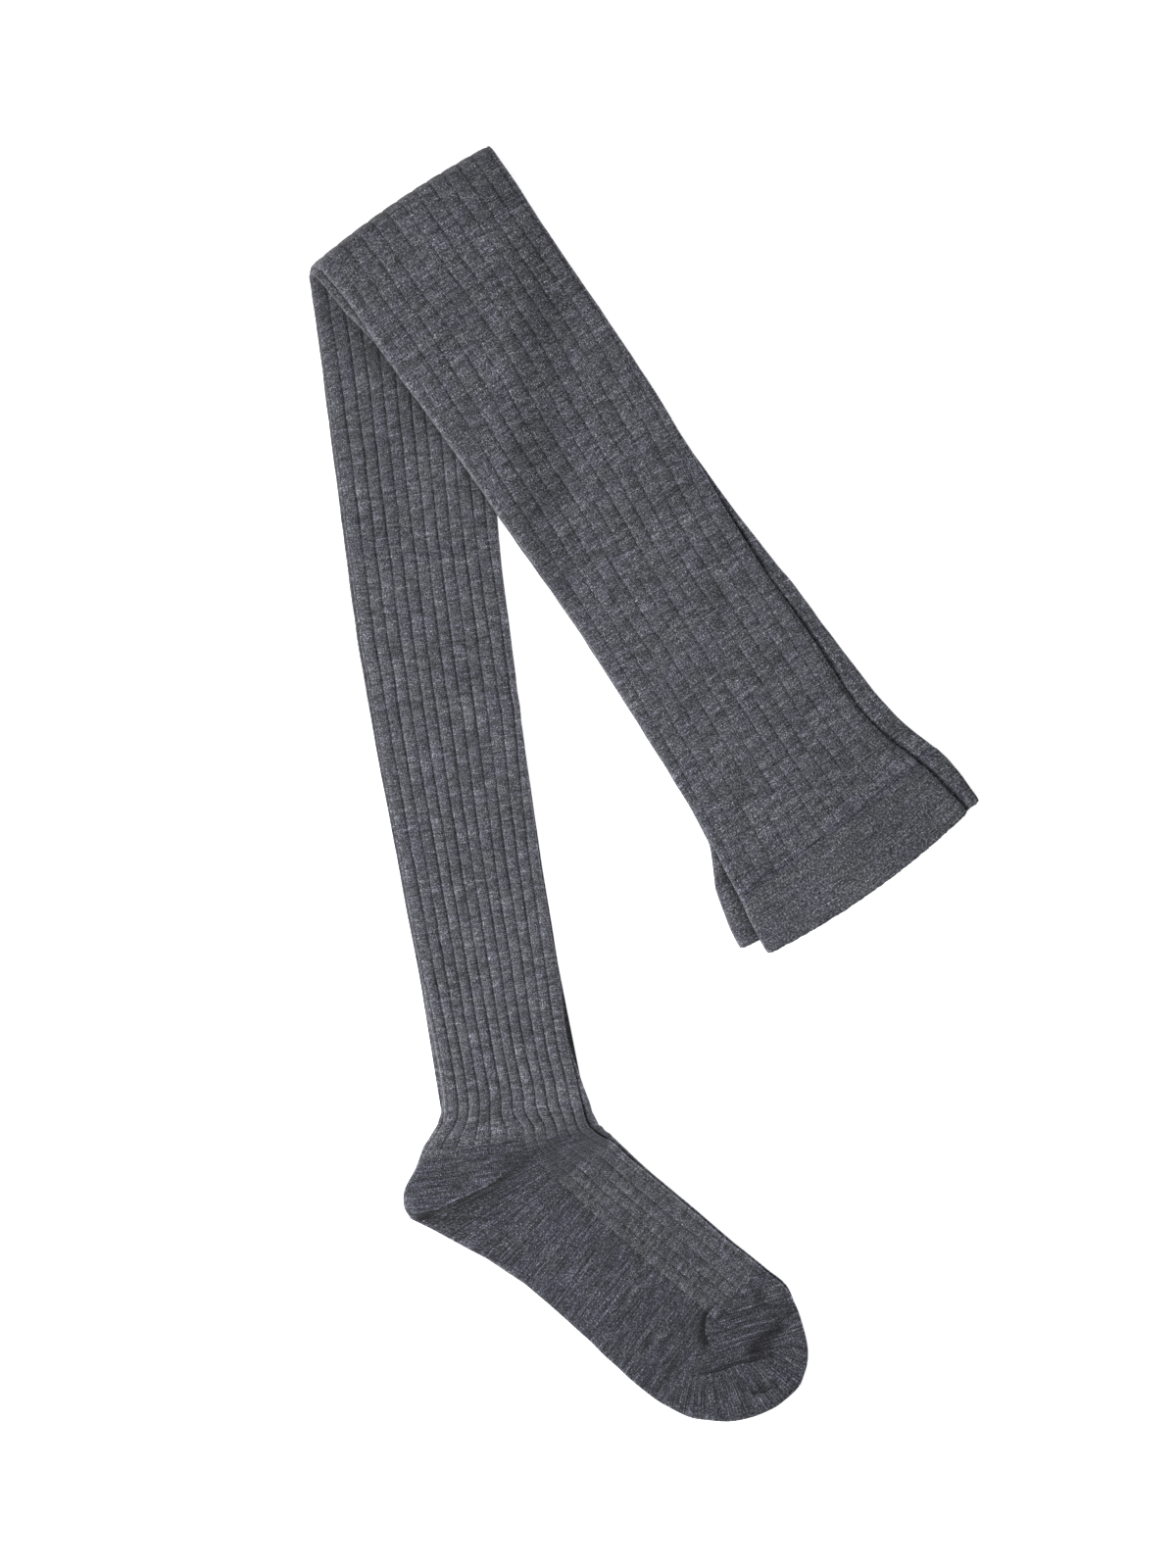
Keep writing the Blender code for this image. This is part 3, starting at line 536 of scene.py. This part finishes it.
# Soft troughs: half their width, how much painted shade lies in them, and how deep.
troughs = [
    {"points": [(49.5, -293.0), (54.5, -288.0), (59.0, -284.0), (64.0, -280.2), (69.5, -276.3),
                   (74.5, -273.0)],
     "width": 3.6, "dark": 0.66, "dip": 0.2},
    {"points": [(31.8, -267.0), (30.3, -272.5), (29.7, -278.0), (30.4, -283.0), (32.4, -289.0)],
     "width": 1.5, "dark": 0.62, "dip": 0.3},
    {"points": [(53.0, -292.5), (60.0, -288.8), (68.0, -284.5)], "width": 3.4, "dark": 0.42, "dip": 0.15},
    {"points": [(65.0, -301.5), (67.0, -304.0), (66.0, -307.0)], "width": 2.4, "dark": 0.40, "dip": 0.2},
    {"points": [(73.0, -306.0), (74.2, -302.5), (74.9, -299.5)], "width": 1.2, "dark": 0.45, "dip": 0.2},
    {"points": [(37.0, -272.5), (43.0, -269.5), (50.5, -267.0)], "width": 1.6, "dark": 0.38, "dip": 0.25},
    {"points": [(56.0, -257.0), (58.5, -262.0), (60.5, -267.0)], "width": 3.6, "dark": 0.34, "dip": 0.1},
    {"points": [(57.0, -266.5), (66.0, -265.5), (77.0, -264.5)], "width": 1.5, "dark": 0.36, "dip": 0.25},
    {"points": [(59.0, -274.5), (66.0, -271.5), (73.0, -269.6), (80.0, -269.5)],
     "width": 1.9, "dark": 0.40, "dip": 0.3},
    {"points": [(-2.0, -290.0), (1.5, -284.0), (5.5, -277.5)], "width": 1.2, "dark": 0.32, "dip": 0.2},
    {"points": [(9.6, -308.0), (12.4, -301.1), (16.5, -294.4), (18.3, -286.5)],
     "width": 1.3, "dark": 0.42, "dip": 0.3},
    {"points": [(-1.5, -306.5), (3.3, -299.7), (6.6, -293.5)], "width": 1.2, "dark": 0.38, "dip": 0.25},
    {"points": [(23.4, -303.0), (24.0, -309.0), (22.6, -318.5)], "width": 1.1, "dark": 0.38, "dip": 0.25},
    {"points": [(29.9, -303.5), (30.8, -311.0), (29.9, -320.5)], "width": 1.1, "dark": 0.38, "dip": 0.25},
    {"points": [(35.8, -304.0), (37.0, -312.0), (37.2, -318.0)], "width": 1.0, "dark": 0.28, "dip": 0.2},
    {"points": [(49.8, -300.5), (50.8, -304.5), (52.0, -309.0)], "width": 1.3, "dark": 0.30, "dip": 0.2},
    {"points": [(16.0, -306.5), (17.0, -301.0), (21.5, -295.5)], "width": 1.1, "dark": 0.34, "dip": 0.25},
    {"points": [(8.5, -290.5), (12.0, -284.5), (16.5, -278.5)], "width": 1.2, "dark": 0.30, "dip": 0.2},
    {"points": [(-73.0, -197.5), (-62.0, -191.5), (-52.0, -187.5), (-40.0, -183.5)],
     "width": 3.4, "dark": 0.34, "dip": 0.4},
    {"points": [(-114.0, -221.0), (-110.0, -220.0), (-104.0, -219.6)],
     "width": 1.8, "dark": 0.45, "dip": 0.3},
]


def nearLine(plan, points):  # distance to a line of points, its sign on the left, and the share along it
    points = np.asarray(points, float)
    lengths = np.linalg.norm(np.diff(points, axis=0), axis=1)
    begins = np.concatenate([[0.0], np.cumsum(lengths)])
    best = np.full(plan.shape[:-1], 1e9)
    signed, share = best.copy(), np.zeros_like(best)
    for i, length in enumerate(lengths):
        heading = (points[i + 1] - points[i]) / length
        offset = plan - points[i]
        run = np.clip(offset @ heading, 0, length)
        gap = np.linalg.norm(offset - run[..., None] * heading, axis=-1)
        side = np.sign(heading[0] * offset[..., 1] - heading[1] * offset[..., 0])
        closer = gap < best
        best = np.where(closer, gap, best)
        signed = np.where(closer, gap * np.where(side == 0, 1, side), signed)
        share = np.where(closer, (begins[i] + run) / begins[-1], share)
    return signed, share


def creased(plan):  # rise, broad shade, and two layers of marks: gap, dark and wide
    rise, shade = np.zeros(plan.shape[:-1]), np.zeros(plan.shape[:-1])
    marks = np.zeros((2, *plan.shape[:-1], 3))
    marks[..., 2] = 1.0
    strongest = np.zeros((2, *plan.shape[:-1]))
    for crease in creases:
        signed, share = nearLine(plan, crease["points"])
        taper = smooth(share / crease["fadeIn"]) * smooth((1 - share) / crease["fadeOut"])
        left = 1 - smooth(signed / crease["reach"])
        right = 1 - smooth(-signed / crease["step"])
        rise += crease["rise"] * taper * np.where(signed > 0, left, right)
        felt = crease["dark"] * taper * np.exp(-np.maximum(-signed, 0) / crease["wide"]) * (signed < 2.5)
        layer = crease["layer"]
        chosen = felt > np.maximum(strongest[layer], 0.01)
        strongest[layer][chosen] = felt[chosen]
        mark = np.stack([0.4 - signed, crease["dark"] * taper, np.full_like(signed, crease["wide"])], -1)
        marks[layer][chosen] = mark[chosen]
    for trough in troughs:
        signed, share = nearLine(plan, trough["points"])
        taper = smooth(share / 0.25) * smooth((1 - share) / 0.25)
        near = taper * np.exp(-((signed / trough["width"]) ** 2))
        shade = 1 - (1 - shade) * (1 - trough["dark"] * near)
        rise -= trough["dip"] * near
    return rise, shade, marks


# From rows to a mesh.
def sockMesh(name, thighRows, floor, lower):
    rows = sockRows(thighRows, lower)
    columns = stitchColumns(fineTop=not lower)
    outer, shade, marks = skin(rows, columns, floor, True, lower)
    last = len(rows["turn"]) - 1
    spaced = np.arange(12, last + 1, knit["innerRowStep"])
    fold = np.flatnonzero((rows["turn"] > 0) & (rows["turn"] < math.pi))
    atFold = [fold[:: knit["innerFoldStep"]], [fold[0] - 1, fold[-1] + 1]]
    sparse = np.unique(np.concatenate([spaced, [last], *atFold]))  # rows of the inner wall
    few = {key: value[sparse] if np.ndim(value) else value for key, value in rows.items()}
    inner = skin(few, columns, floor, False, lower)[0]
    lip = (outer[-1] + inner[-1]) / 2 + np.append(along * 0.45, 0)
    points = np.concatenate([outer, lip[None], inner[::-1]]) * mm
    order = np.concatenate([np.arange(len(outer)), [len(outer) - 1], sparse[::-1]])
    count, wide = points.shape[:2]
    index = np.arange(count * wide).reshape(count, wide)
    right = np.roll(index, -1, axis=1)
    quads = np.stack([index[:-1], right[:-1], right[1:], index[1:]], axis=-1).reshape(-1, 4)
    toe, inside = count * wide, count * wide + 1
    caps = [(toe, int(b), int(a)) for a, b in zip(index[0], right[0])]
    caps += [(int(a), int(b), inside) for a, b in zip(index[-1], right[-1])]
    vertices = np.concatenate([points.reshape(-1, 3), [points[0].mean(0), points[-1].mean(0)]])
    mesh = bpy.data.meshes.new(name)
    mesh.from_pydata(vertices.tolist(), [], quads.tolist() + caps)
    mesh.shade_smooth()
    made = bpy.data.objects.new(name, mesh)
    bpy.context.scene.collection.objects.link(made)
    addStitchMap(mesh, rows, columns, order, points / mm, len(caps))
    ribbing = ribDepth(rows, columns)[order]
    addValues(mesh, "ribbing", ribbing)
    addValues(mesh, "shade", np.concatenate([shade, np.zeros((count - len(shade), wide))]))
    for key, layer in zip(("creaseA", "creaseB"), marks):
        addValues(mesh, key, np.concatenate([layer, np.zeros((count - len(layer), wide, 3))]))
    welt = np.repeat(rows["welt"][order][:-1] > 0.5, wide)
    plain = (ribbing[:-1] + ribbing[1:]).ravel() < 0.9
    slots = np.where(welt, 2, np.where(plain, 1, 0))
    mesh.polygons.foreach_set("material_index", np.append(slots, [1] * len(caps)).astype(np.int32))
    mesh.update()
    print(name, "has", sum(len(face.vertices) - 2 for face in mesh.polygons), "triangles")
    return made


def addValues(mesh, name, values):  # one value or vector a vertex, 0 at the two caps
    isVector = values.ndim == 3
    attribute = mesh.attributes.new(name, "FLOAT_VECTOR" if isVector else "FLOAT", "POINT")
    flat = np.append(values.ravel(), np.zeros(6 if isVector else 2)).astype(np.float32)
    attribute.data.foreach_set("vector" if isVector else "value", flat)


toeGore = [
    (84.0, -283.0), (70.4, -287.3), (55.9, -294.0), (43.3, -297.2), (30.0, -300.8), (26.0, -290.0),
    (24.0, -262.0),
]


def faceCorners(stitches):  # the four corners of each face, from a value at each point
    following = np.roll(stitches, -1, axis=1)
    return np.stack([stitches[:-1], following[:-1], following[1:], stitches[1:]], axis=2)


def tilted(points, degrees):  # wales and courses of plain knit that lies at an angle
    tilt = math.radians(degrees)
    x, y = points[..., 0], points[..., 1]
    wale = (x * math.cos(tilt) + y * math.sin(tilt)) / knit["waleWidth"]
    return np.stack([wale, (y * math.cos(tilt) - x * math.sin(tilt)) / knit["course"]], -1)


def addStitchMap(mesh, rows, columns, order, points, capCount):  # in wales and courses
    wales, course = knit["wales"], knit["course"]
    count, wide = points.shape[:2]
    u = np.broadcast_to(columns * wales, (count, wide))
    v = np.broadcast_to((rows["course"][order] / course)[:, None], (count, wide))
    uRight = np.broadcast_to(np.append(columns[1:], knit["ribs"]) * wales, (count, wide))
    corners = np.stack(
        [
            np.stack([u[:-1], v[:-1]], -1),
            np.stack([uRight[:-1], v[:-1]], -1),
            np.stack([uRight[1:], v[1:]], -1),
            np.stack([u[1:], v[1:]], -1),
        ],
        axis=2,
    )
    level = tilted(points, knit["heelTilt"])
    fromInstep = np.abs((columns % knit["ribs"]) - knit["ribs"] / 2)
    heel = (rows["heel"][order][:-1, None] > 0.5) & (fromInstep > knit["ribs"] / 4 + 0.2)[None, :]
    corners = np.where(heel[..., None, None], faceCorners(level), corners)
    plan = points[..., :2] - planShift
    fan = plan - np.array(knit["toeFan"])
    turned = np.arctan2(fan[..., 1], -fan[..., 0]) * knit["toeFanRadius"] / course
    spread = np.stack([np.linalg.norm(fan, axis=-1) / knit["waleWidth"], turned], -1)
    puff = tilted(plan, knit["toeTilt"])
    isToe = rows["toe"][order][:-1, None] > 0.5
    overGore = nearLine(plan[:-1], toeGore)[0] < 0
    for chosen, stitches in ((isToe & ~overGore, spread), (isToe & overGore, puff)):
        corners = np.where(chosen[..., None, None], faceCorners(stitches), corners)
    layer = mesh.uv_layers.new(name="stitches")
    flat = np.concatenate([corners.reshape(-1, 2), np.zeros((capCount * 3, 2))])
    layer.data.foreach_set("uv", flat.ravel().astype(np.float32))


# Shader helpers.
def addNode(tree, kind, values=None, **settings):
    made = tree.nodes.new(kind)
    for key, value in settings.items():
        setattr(made, key, value)
    for socket, value in (values or {}).items():
        if isinstance(value, bpy.types.NodeSocket):
            tree.links.new(value, made.inputs[socket])
        else:
            made.inputs[socket].default_value = value
    return made


def calc(tree, operation, *values):
    made = addNode(tree, "ShaderNodeMath", dict(enumerate(values)), operation=operation)
    return made.outputs[0]


def newGroup(name, inputs, outputs):
    tree = bpy.data.node_groups.new(name, "ShaderNodeTree")
    for key, kind, value in inputs:
        socket = tree.interface.new_socket(name=key, in_out="INPUT", socket_type=kind)
        if value is not None:
            socket.default_value = value
    for key, kind in outputs:
        tree.interface.new_socket(name=key, in_out="OUTPUT", socket_type=kind)
    return tree, tree.nodes.new("NodeGroupInput").outputs, tree.nodes.new("NodeGroupOutput").inputs


def noiseAt(tree, x, y, width, height, detail=0.0, roughness=0.5, offset=0.0):
    vector = addNode(
        tree,
        "ShaderNodeCombineXYZ",
        {"X": calc(tree, "MULTIPLY_ADD", x, 1 / width, offset), "Y": calc(tree, "MULTIPLY", y, 1 / height)},
    )
    noise = addNode(
        tree,
        "ShaderNodeTexNoise",
        {"Vector": vector.outputs[0], "Scale": 1.0, "Detail": detail, "Roughness": roughness},
        noise_dimensions="2D",
    )
    return calc(tree, "SUBTRACT", noise.outputs[0], 0.5)


# Heather yarn.
yarn = {
    "blue": (0.0870, 0.0868, 0.1068),
    "neutral": (0.0888, 0.0908, 0.1024),
    "patch": 0.55,  # slow drifts in tone
    "streak": 1.7,  # lighter and darker lengths of yarn along a course
    "ribBlock": 1.3,  # lengths that show on one rib only
    "line": 1.2,  # single courses
    "longLine": 2.4,  # the same on the plain knit
    "fibre": 3.1,
    "stitch": 1.25,  # from one stitch to the next
}


def heatherGroup():
    tree, given, put = newGroup(
        "heather yarn",
        [
            ("Stitch", "NodeSocketVector", None),
            ("Ribs", "NodeSocketFloat", 1.0),
            ("Streaks", "NodeSocketFloat", 1.0),
        ],
        [("Color", "NodeSocketColor")],
    )
    split = addNode(tree, "ShaderNodeSeparateXYZ", {"Vector": given["Stitch"]})
    wale, course = split.outputs[0], split.outputs[1]
    y = calc(tree, "MULTIPLY", course, knit["course"])  # millimetres; one wale is about one
    rib = calc(tree, "FLOOR", calc(tree, "DIVIDE", wale, knit["wales"]))
    ribX = calc(tree, "MULTIPLY", rib, 5.17)
    leg = calc(tree, "FLOOR", calc(tree, "MULTIPLY", wale, 2.0))
    row = calc(tree, "FLOOR", calc(tree, "MULTIPLY", course, 1.5))
    cell = addNode(tree, "ShaderNodeCombineXYZ", {"X": leg, "Y": row})
    speck = addNode(tree, "ShaderNodeTexWhiteNoise", {"Vector": cell.outputs[0]}, noise_dimensions="2D")
    block = noiseAt(tree, ribX, y, 1.0, 4.2, 3.0, 0.6)
    onPlain = calc(tree, "MULTIPLY", calc(tree, "SUBTRACT", 1.0, given["Ribs"]), given["Streaks"])
    streak = noiseAt(tree, wale, y, 8.0, 2.1, 3.0, 0.6, 3.3)
    longLine = noiseAt(tree, wale, y, 26.0, 0.9, 1.0, 0.5, 5.5)
    parts = [
        (noiseAt(tree, wale, y, 34.0, 18.0, 2.0), yarn["patch"]),
        (calc(tree, "MULTIPLY", streak, given["Streaks"]), yarn["streak"]),
        (noiseAt(tree, wale, y, 10.0, 0.9, 1.0, 0.5, 7.7), yarn["line"]),
        (noiseAt(tree, wale, y, 0.9, 0.7, 1.0, 0.5, 11.1), yarn["fibre"]),
        (calc(tree, "SUBTRACT", speck.outputs[0], 0.5), yarn["stitch"]),
        (calc(tree, "MULTIPLY", block, given["Ribs"]), yarn["ribBlock"]),
        (calc(tree, "MULTIPLY", longLine, onPlain), yarn["longLine"]),
    ]
    total = 0.0
    for value, weight in parts:
        total = calc(tree, "MULTIPLY_ADD", value, weight, total)
    total = calc(tree, "EXPONENT", total)
    tone = addNode(
        tree,
        "ShaderNodeMapRange",
        {"Value": noiseAt(tree, wale, y, 22.0, 9.0, 2.0, 0.5, 19.0), "From Min": -0.14, "From Max": 0.14},
    )
    hue = addNode(
        tree,
        "ShaderNodeMix",
        {0: tone.outputs[0], 6: (*yarn["blue"], 1), 7: (*yarn["neutral"], 1)},
        data_type="RGBA",
    )
    colour = addNode(tree, "ShaderNodeVectorMath", {0: hue.outputs[2], 1: total}, operation="MULTIPLY")
    tree.links.new(colour.outputs[0], put["Color"])
    return tree


def stitchGroup():  # the little Vs of plain knitting, as a height
    tree, given, put = newGroup(
        "knit stitches",
        [("Stitch", "NodeSocketVector", None)],
        [("Height", "NodeSocketFloat")],
    )
    split = addNode(tree, "ShaderNodeSeparateXYZ", {"Vector": given["Stitch"]})
    inWale = calc(tree, "SUBTRACT", calc(tree, "FRACT", split.outputs[0]), 0.5)
    out = calc(tree, "MULTIPLY", calc(tree, "ABSOLUTE", inWale), 2.0)
    slant = calc(tree, "MULTIPLY_ADD", out, 0.5, split.outputs[1])
    wave = calc(tree, "SINE", calc(tree, "MULTIPLY", slant, 2 * math.pi))
    leg = calc(tree, "MULTIPLY_ADD", wave, 0.5, 0.5)
    valley = calc(tree, "SUBTRACT", 1.0, calc(tree, "POWER", out, 3.0))
    tree.links.new(calc(tree, "MULTIPLY", leg, valley), put["Height"])
    return tree


def piqueGroup():  # the welt's small dots, as a height
    tree, given, put = newGroup(
        "welt stitches",
        [("Stitch", "NodeSocketVector", None)],
        [("Height", "NodeSocketFloat")],
    )
    split = addNode(tree, "ShaderNodeSeparateXYZ", {"Vector": given["Stitch"]})
    x = calc(tree, "MULTIPLY", split.outputs[0], 2 * math.pi)
    y = calc(tree, "MULTIPLY", split.outputs[1], math.pi)
    first = calc(tree, "COSINE", calc(tree, "ADD", x, y))
    second = calc(tree, "COSINE", calc(tree, "SUBTRACT", x, y))
    both = calc(tree, "MULTIPLY", first, second)
    tree.links.new(calc(tree, "MULTIPLY_ADD", both, 0.5, 0.5), put["Height"])
    return tree


def ribLineGroup():  # 1 on the line between two ribs
    tree, given, put = newGroup(
        "rib lines",
        [("Stitch", "NodeSocketVector", None), ("Width", "NodeSocketFloat", 0.5)],
        [("Line", "NodeSocketFloat")],
    )
    split = addNode(tree, "ShaderNodeSeparateXYZ", {"Vector": given["Stitch"]})
    rib = calc(tree, "DIVIDE", split.outputs[0], knit["wales"])
    share = calc(tree, "SUBTRACT", calc(tree, "FRACT", calc(tree, "ADD", rib, 0.5)), 0.5)
    away = calc(tree, "MULTIPLY", share, knit["wales"])
    near = calc(tree, "DIVIDE", away, given["Width"])
    fall = calc(tree, "MULTIPLY", calc(tree, "MULTIPLY", near, near), -1.0)
    tree.links.new(calc(tree, "EXPONENT", fall), put["Line"])
    return tree


def creaseGroup():  # shade under a crease's lip
    tree, given, put = newGroup(
        "crease shade",
        [("Mark", "NodeSocketVector", None)],
        [("Light", "NodeSocketFloat")],
    )
    split = addNode(tree, "ShaderNodeSeparateXYZ", {"Vector": given["Mark"]})
    gap, dark, wide = split.outputs
    ramp = {0: gap, 1: 1.4, 2: 0.6}
    edge = addNode(tree, "ShaderNodeMath", ramp, operation="MULTIPLY_ADD", use_clamp=True)
    away = calc(tree, "MULTIPLY", calc(tree, "MAXIMUM", gap, 0.0), -1.0)
    fall = calc(tree, "EXPONENT", calc(tree, "DIVIDE", away, calc(tree, "MAXIMUM", wide, 0.1)))
    total = calc(tree, "MULTIPLY", calc(tree, "MULTIPLY", edge.outputs[0], fall), dark)
    tree.links.new(calc(tree, "SUBTRACT", 1.0, total), put["Light"])
    return tree


# The three knitted finishes.
finish = {
    "lineDark": 0.50,  # painted shade in the grooves between ribs: how dark
    "lineWidth": 0.5,  # in stitches
    # stitchDark and weltDark: painted shade in the hollows of the stitches and of the welt's dots
    "stitchDark": 0.45,
    "relief": 0.00022,  # metres
    "roughness": 0.93,
    "sheen": 0.25,
    "sheenRoughness": 0.5,
    "specular": 0.2,
    "weltDark": 0.7,
    "ribTone": (1.0, 1.0, 1.0),
    "plainTone": (0.708, 0.715, 0.752),
    "weltTone": (0.855, 0.855, 0.85),
}


def knitMaterial(name, groups, ribs, streaks, reliefGroup, reliefDark, tone):
    material = bpy.data.materials.new(name)
    material.use_nodes = True
    tree = material.node_tree
    shader = tree.nodes["Principled BSDF"]
    stitch = addNode(tree, "ShaderNodeUVMap", uv_map="stitches").outputs[0]
    heather = addNode(tree, "ShaderNodeGroup", node_tree=groups["heather"])
    tree.links.new(stitch, heather.inputs["Stitch"])
    heather.inputs["Ribs"].default_value = ribs
    heather.inputs["Streaks"].default_value = streaks
    relief = addNode(tree, "ShaderNodeGroup", node_tree=groups[reliefGroup])
    tree.links.new(stitch, relief.inputs["Stitch"])
    line = addNode(tree, "ShaderNodeGroup", node_tree=groups["ribLine"])
    tree.links.new(stitch, line.inputs["Stitch"])
    line.inputs["Width"].default_value = finish["lineWidth"]
    ribbing = addNode(tree, "ShaderNodeAttribute", attribute_name="ribbing").outputs["Fac"]
    shade = addNode(tree, "ShaderNodeAttribute", attribute_name="shade").outputs["Fac"]
    # Painted shade in the grooves between ribs.
    groove = calc(tree, "MULTIPLY", line.outputs[0], ribbing)
    darker = calc(tree, "MULTIPLY_ADD", groove, -finish["lineDark"], 1.0)
    # The shade attribute and the crease marks carry painted shade and painted light into the base colour.
    light = calc(tree, "SUBTRACT", 1.0, shade)
    for key in ("creaseA", "creaseB"):
        crease = addNode(tree, "ShaderNodeGroup", node_tree=groups["crease"])
        mark = addNode(tree, "ShaderNodeAttribute", attribute_name=key).outputs["Vector"]
        tree.links.new(mark, crease.inputs["Mark"])
        light = calc(tree, "MULTIPLY", light, crease.outputs[0])
    # Painted shade in the hollows of the stitch relief.
    dips = calc(tree, "MULTIPLY_ADD", relief.outputs[0], reliefDark, 1 - 0.5 * reliefDark)
    total = calc(tree, "MULTIPLY", calc(tree, "MULTIPLY", darker, light), dips)
    toned = addNode(tree, "ShaderNodeVectorMath", {0: heather.outputs[0], 1: tone}, operation="MULTIPLY")
    colour = addNode(tree, "ShaderNodeVectorMath", {0: toned.outputs[0], 1: total}, operation="MULTIPLY")
    tree.links.new(colour.outputs[0], shader.inputs["Base Color"])
    bump = addNode(
        tree,
        "ShaderNodeBump",
        {"Height": relief.outputs[0], "Distance": finish["relief"], "Strength": 1.0},
    )
    tree.links.new(bump.outputs[0], shader.inputs["Normal"])
    shader.inputs["Roughness"].default_value = finish["roughness"]
    shader.inputs["Specular IOR Level"].default_value = finish["specular"]
    shader.inputs["Sheen Weight"].default_value = finish["sheen"]
    shader.inputs["Sheen Roughness"].default_value = finish["sheenRoughness"]
    return material


def knitMaterials():
    groups = {
        "heather": heatherGroup(),
        "plain": stitchGroup(),
        "pique": piqueGroup(),
        "ribLine": ribLineGroup(),
        "crease": creaseGroup(),
    }
    made = [
        knitMaterial("ribbed wool", groups, 1.0, 1.0, "plain", finish["stitchDark"], finish["ribTone"]),
        knitMaterial("plain wool", groups, 0.25, 1.0, "plain", finish["stitchDark"], finish["plainTone"]),
        knitMaterial("welt wool", groups, 0.15, 0.3, "pique", finish["weltDark"], finish["weltTone"]),
    ]
    print("wool made")
    return made


# Floor, lights and camera.
studio = {
    "floor": (0.93, 0.93, 0.935),
    "glow": 0.8,  # lifts the shadows on the table to white
    "world": 0.15,
    "photo": (600.0, 800.0),  # millimetres that the camera sees
    "aim": (-28.97, 0.18),
    "height": 5.0,
    "sensor": 36.0,
}


def addFloor():
    bpy.ops.mesh.primitive_plane_add(size=6, location=(0, 0, -0.0003))
    floor = bpy.context.object
    floor.name = "table"
    material = bpy.data.materials.new("white table")
    material.use_nodes = True
    shader = material.node_tree.nodes["Principled BSDF"]
    shader.inputs["Base Color"].default_value = (*studio["floor"], 1)
    shader.inputs["Roughness"].default_value = 0.7
    shader.inputs["Specular IOR Level"].default_value = 0.1
    shader.inputs["Emission Color"].default_value = (1, 1, 1, 1)
    shader.inputs["Emission Strength"].default_value = studio["glow"]
    floor.data.materials.append(material)


def addLight(name, size, power, place, colour=(1, 1, 1)):
    light = bpy.data.lights.new(name, "AREA")
    light.shape = "SQUARE"
    light.size = size
    light.energy = power
    light.color = colour
    made = bpy.data.objects.new(name, light)
    made.location = place
    aim = -np.array(place) / np.linalg.norm(place)
    made.rotation_euler = mathutils.Vector(aim).to_track_quat("-Z", "Y").to_euler()
    bpy.context.scene.collection.objects.link(made)


def addStudio():
    scene = bpy.context.scene
    scene.view_settings.view_transform = "Standard"
    world = bpy.data.worlds.new("studio")
    scene.world = world
    world.use_nodes = True
    background = world.node_tree.nodes["Background"]
    background.inputs["Color"].default_value = (0.97, 0.98, 1.0, 1)
    background.inputs["Strength"].default_value = studio["world"]
    addLight("key", 0.9, 34, (-1.05, -0.55, 0.75))
    addLight("overhead", 0.8, 1.7, (-0.1, 0.0, 0.9))
    lens = bpy.data.cameras.new("camera")
    lens.sensor_width = studio["sensor"]
    lens.lens = studio["sensor"] * studio["height"] / (studio["photo"][1] * mm)
    lens.clip_end = 50
    camera = bpy.data.objects.new("camera", lens)
    camera.location = (studio["aim"][0] * mm, studio["aim"][1] * mm, studio["height"])
    scene.collection.objects.link(camera)
    scene.camera = camera
    print("studio ready")


def declare(sock, node):
    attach(sock, "root")
    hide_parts(node)


addFloor()
wools = knitMaterials()
innerSock = sockMesh("innerSock", innerThighRows, stack["inner"], lower=False)
outerSock = sockMesh("outerSock", outerThighRows, stack["outer"], lower=True)
for sock in (innerSock, outerSock):
    for wool in wools:
        sock.data.materials.append(wool)
declare(outerSock, "sock_outer")
declare(innerSock, "sock_inner")
addStudio()
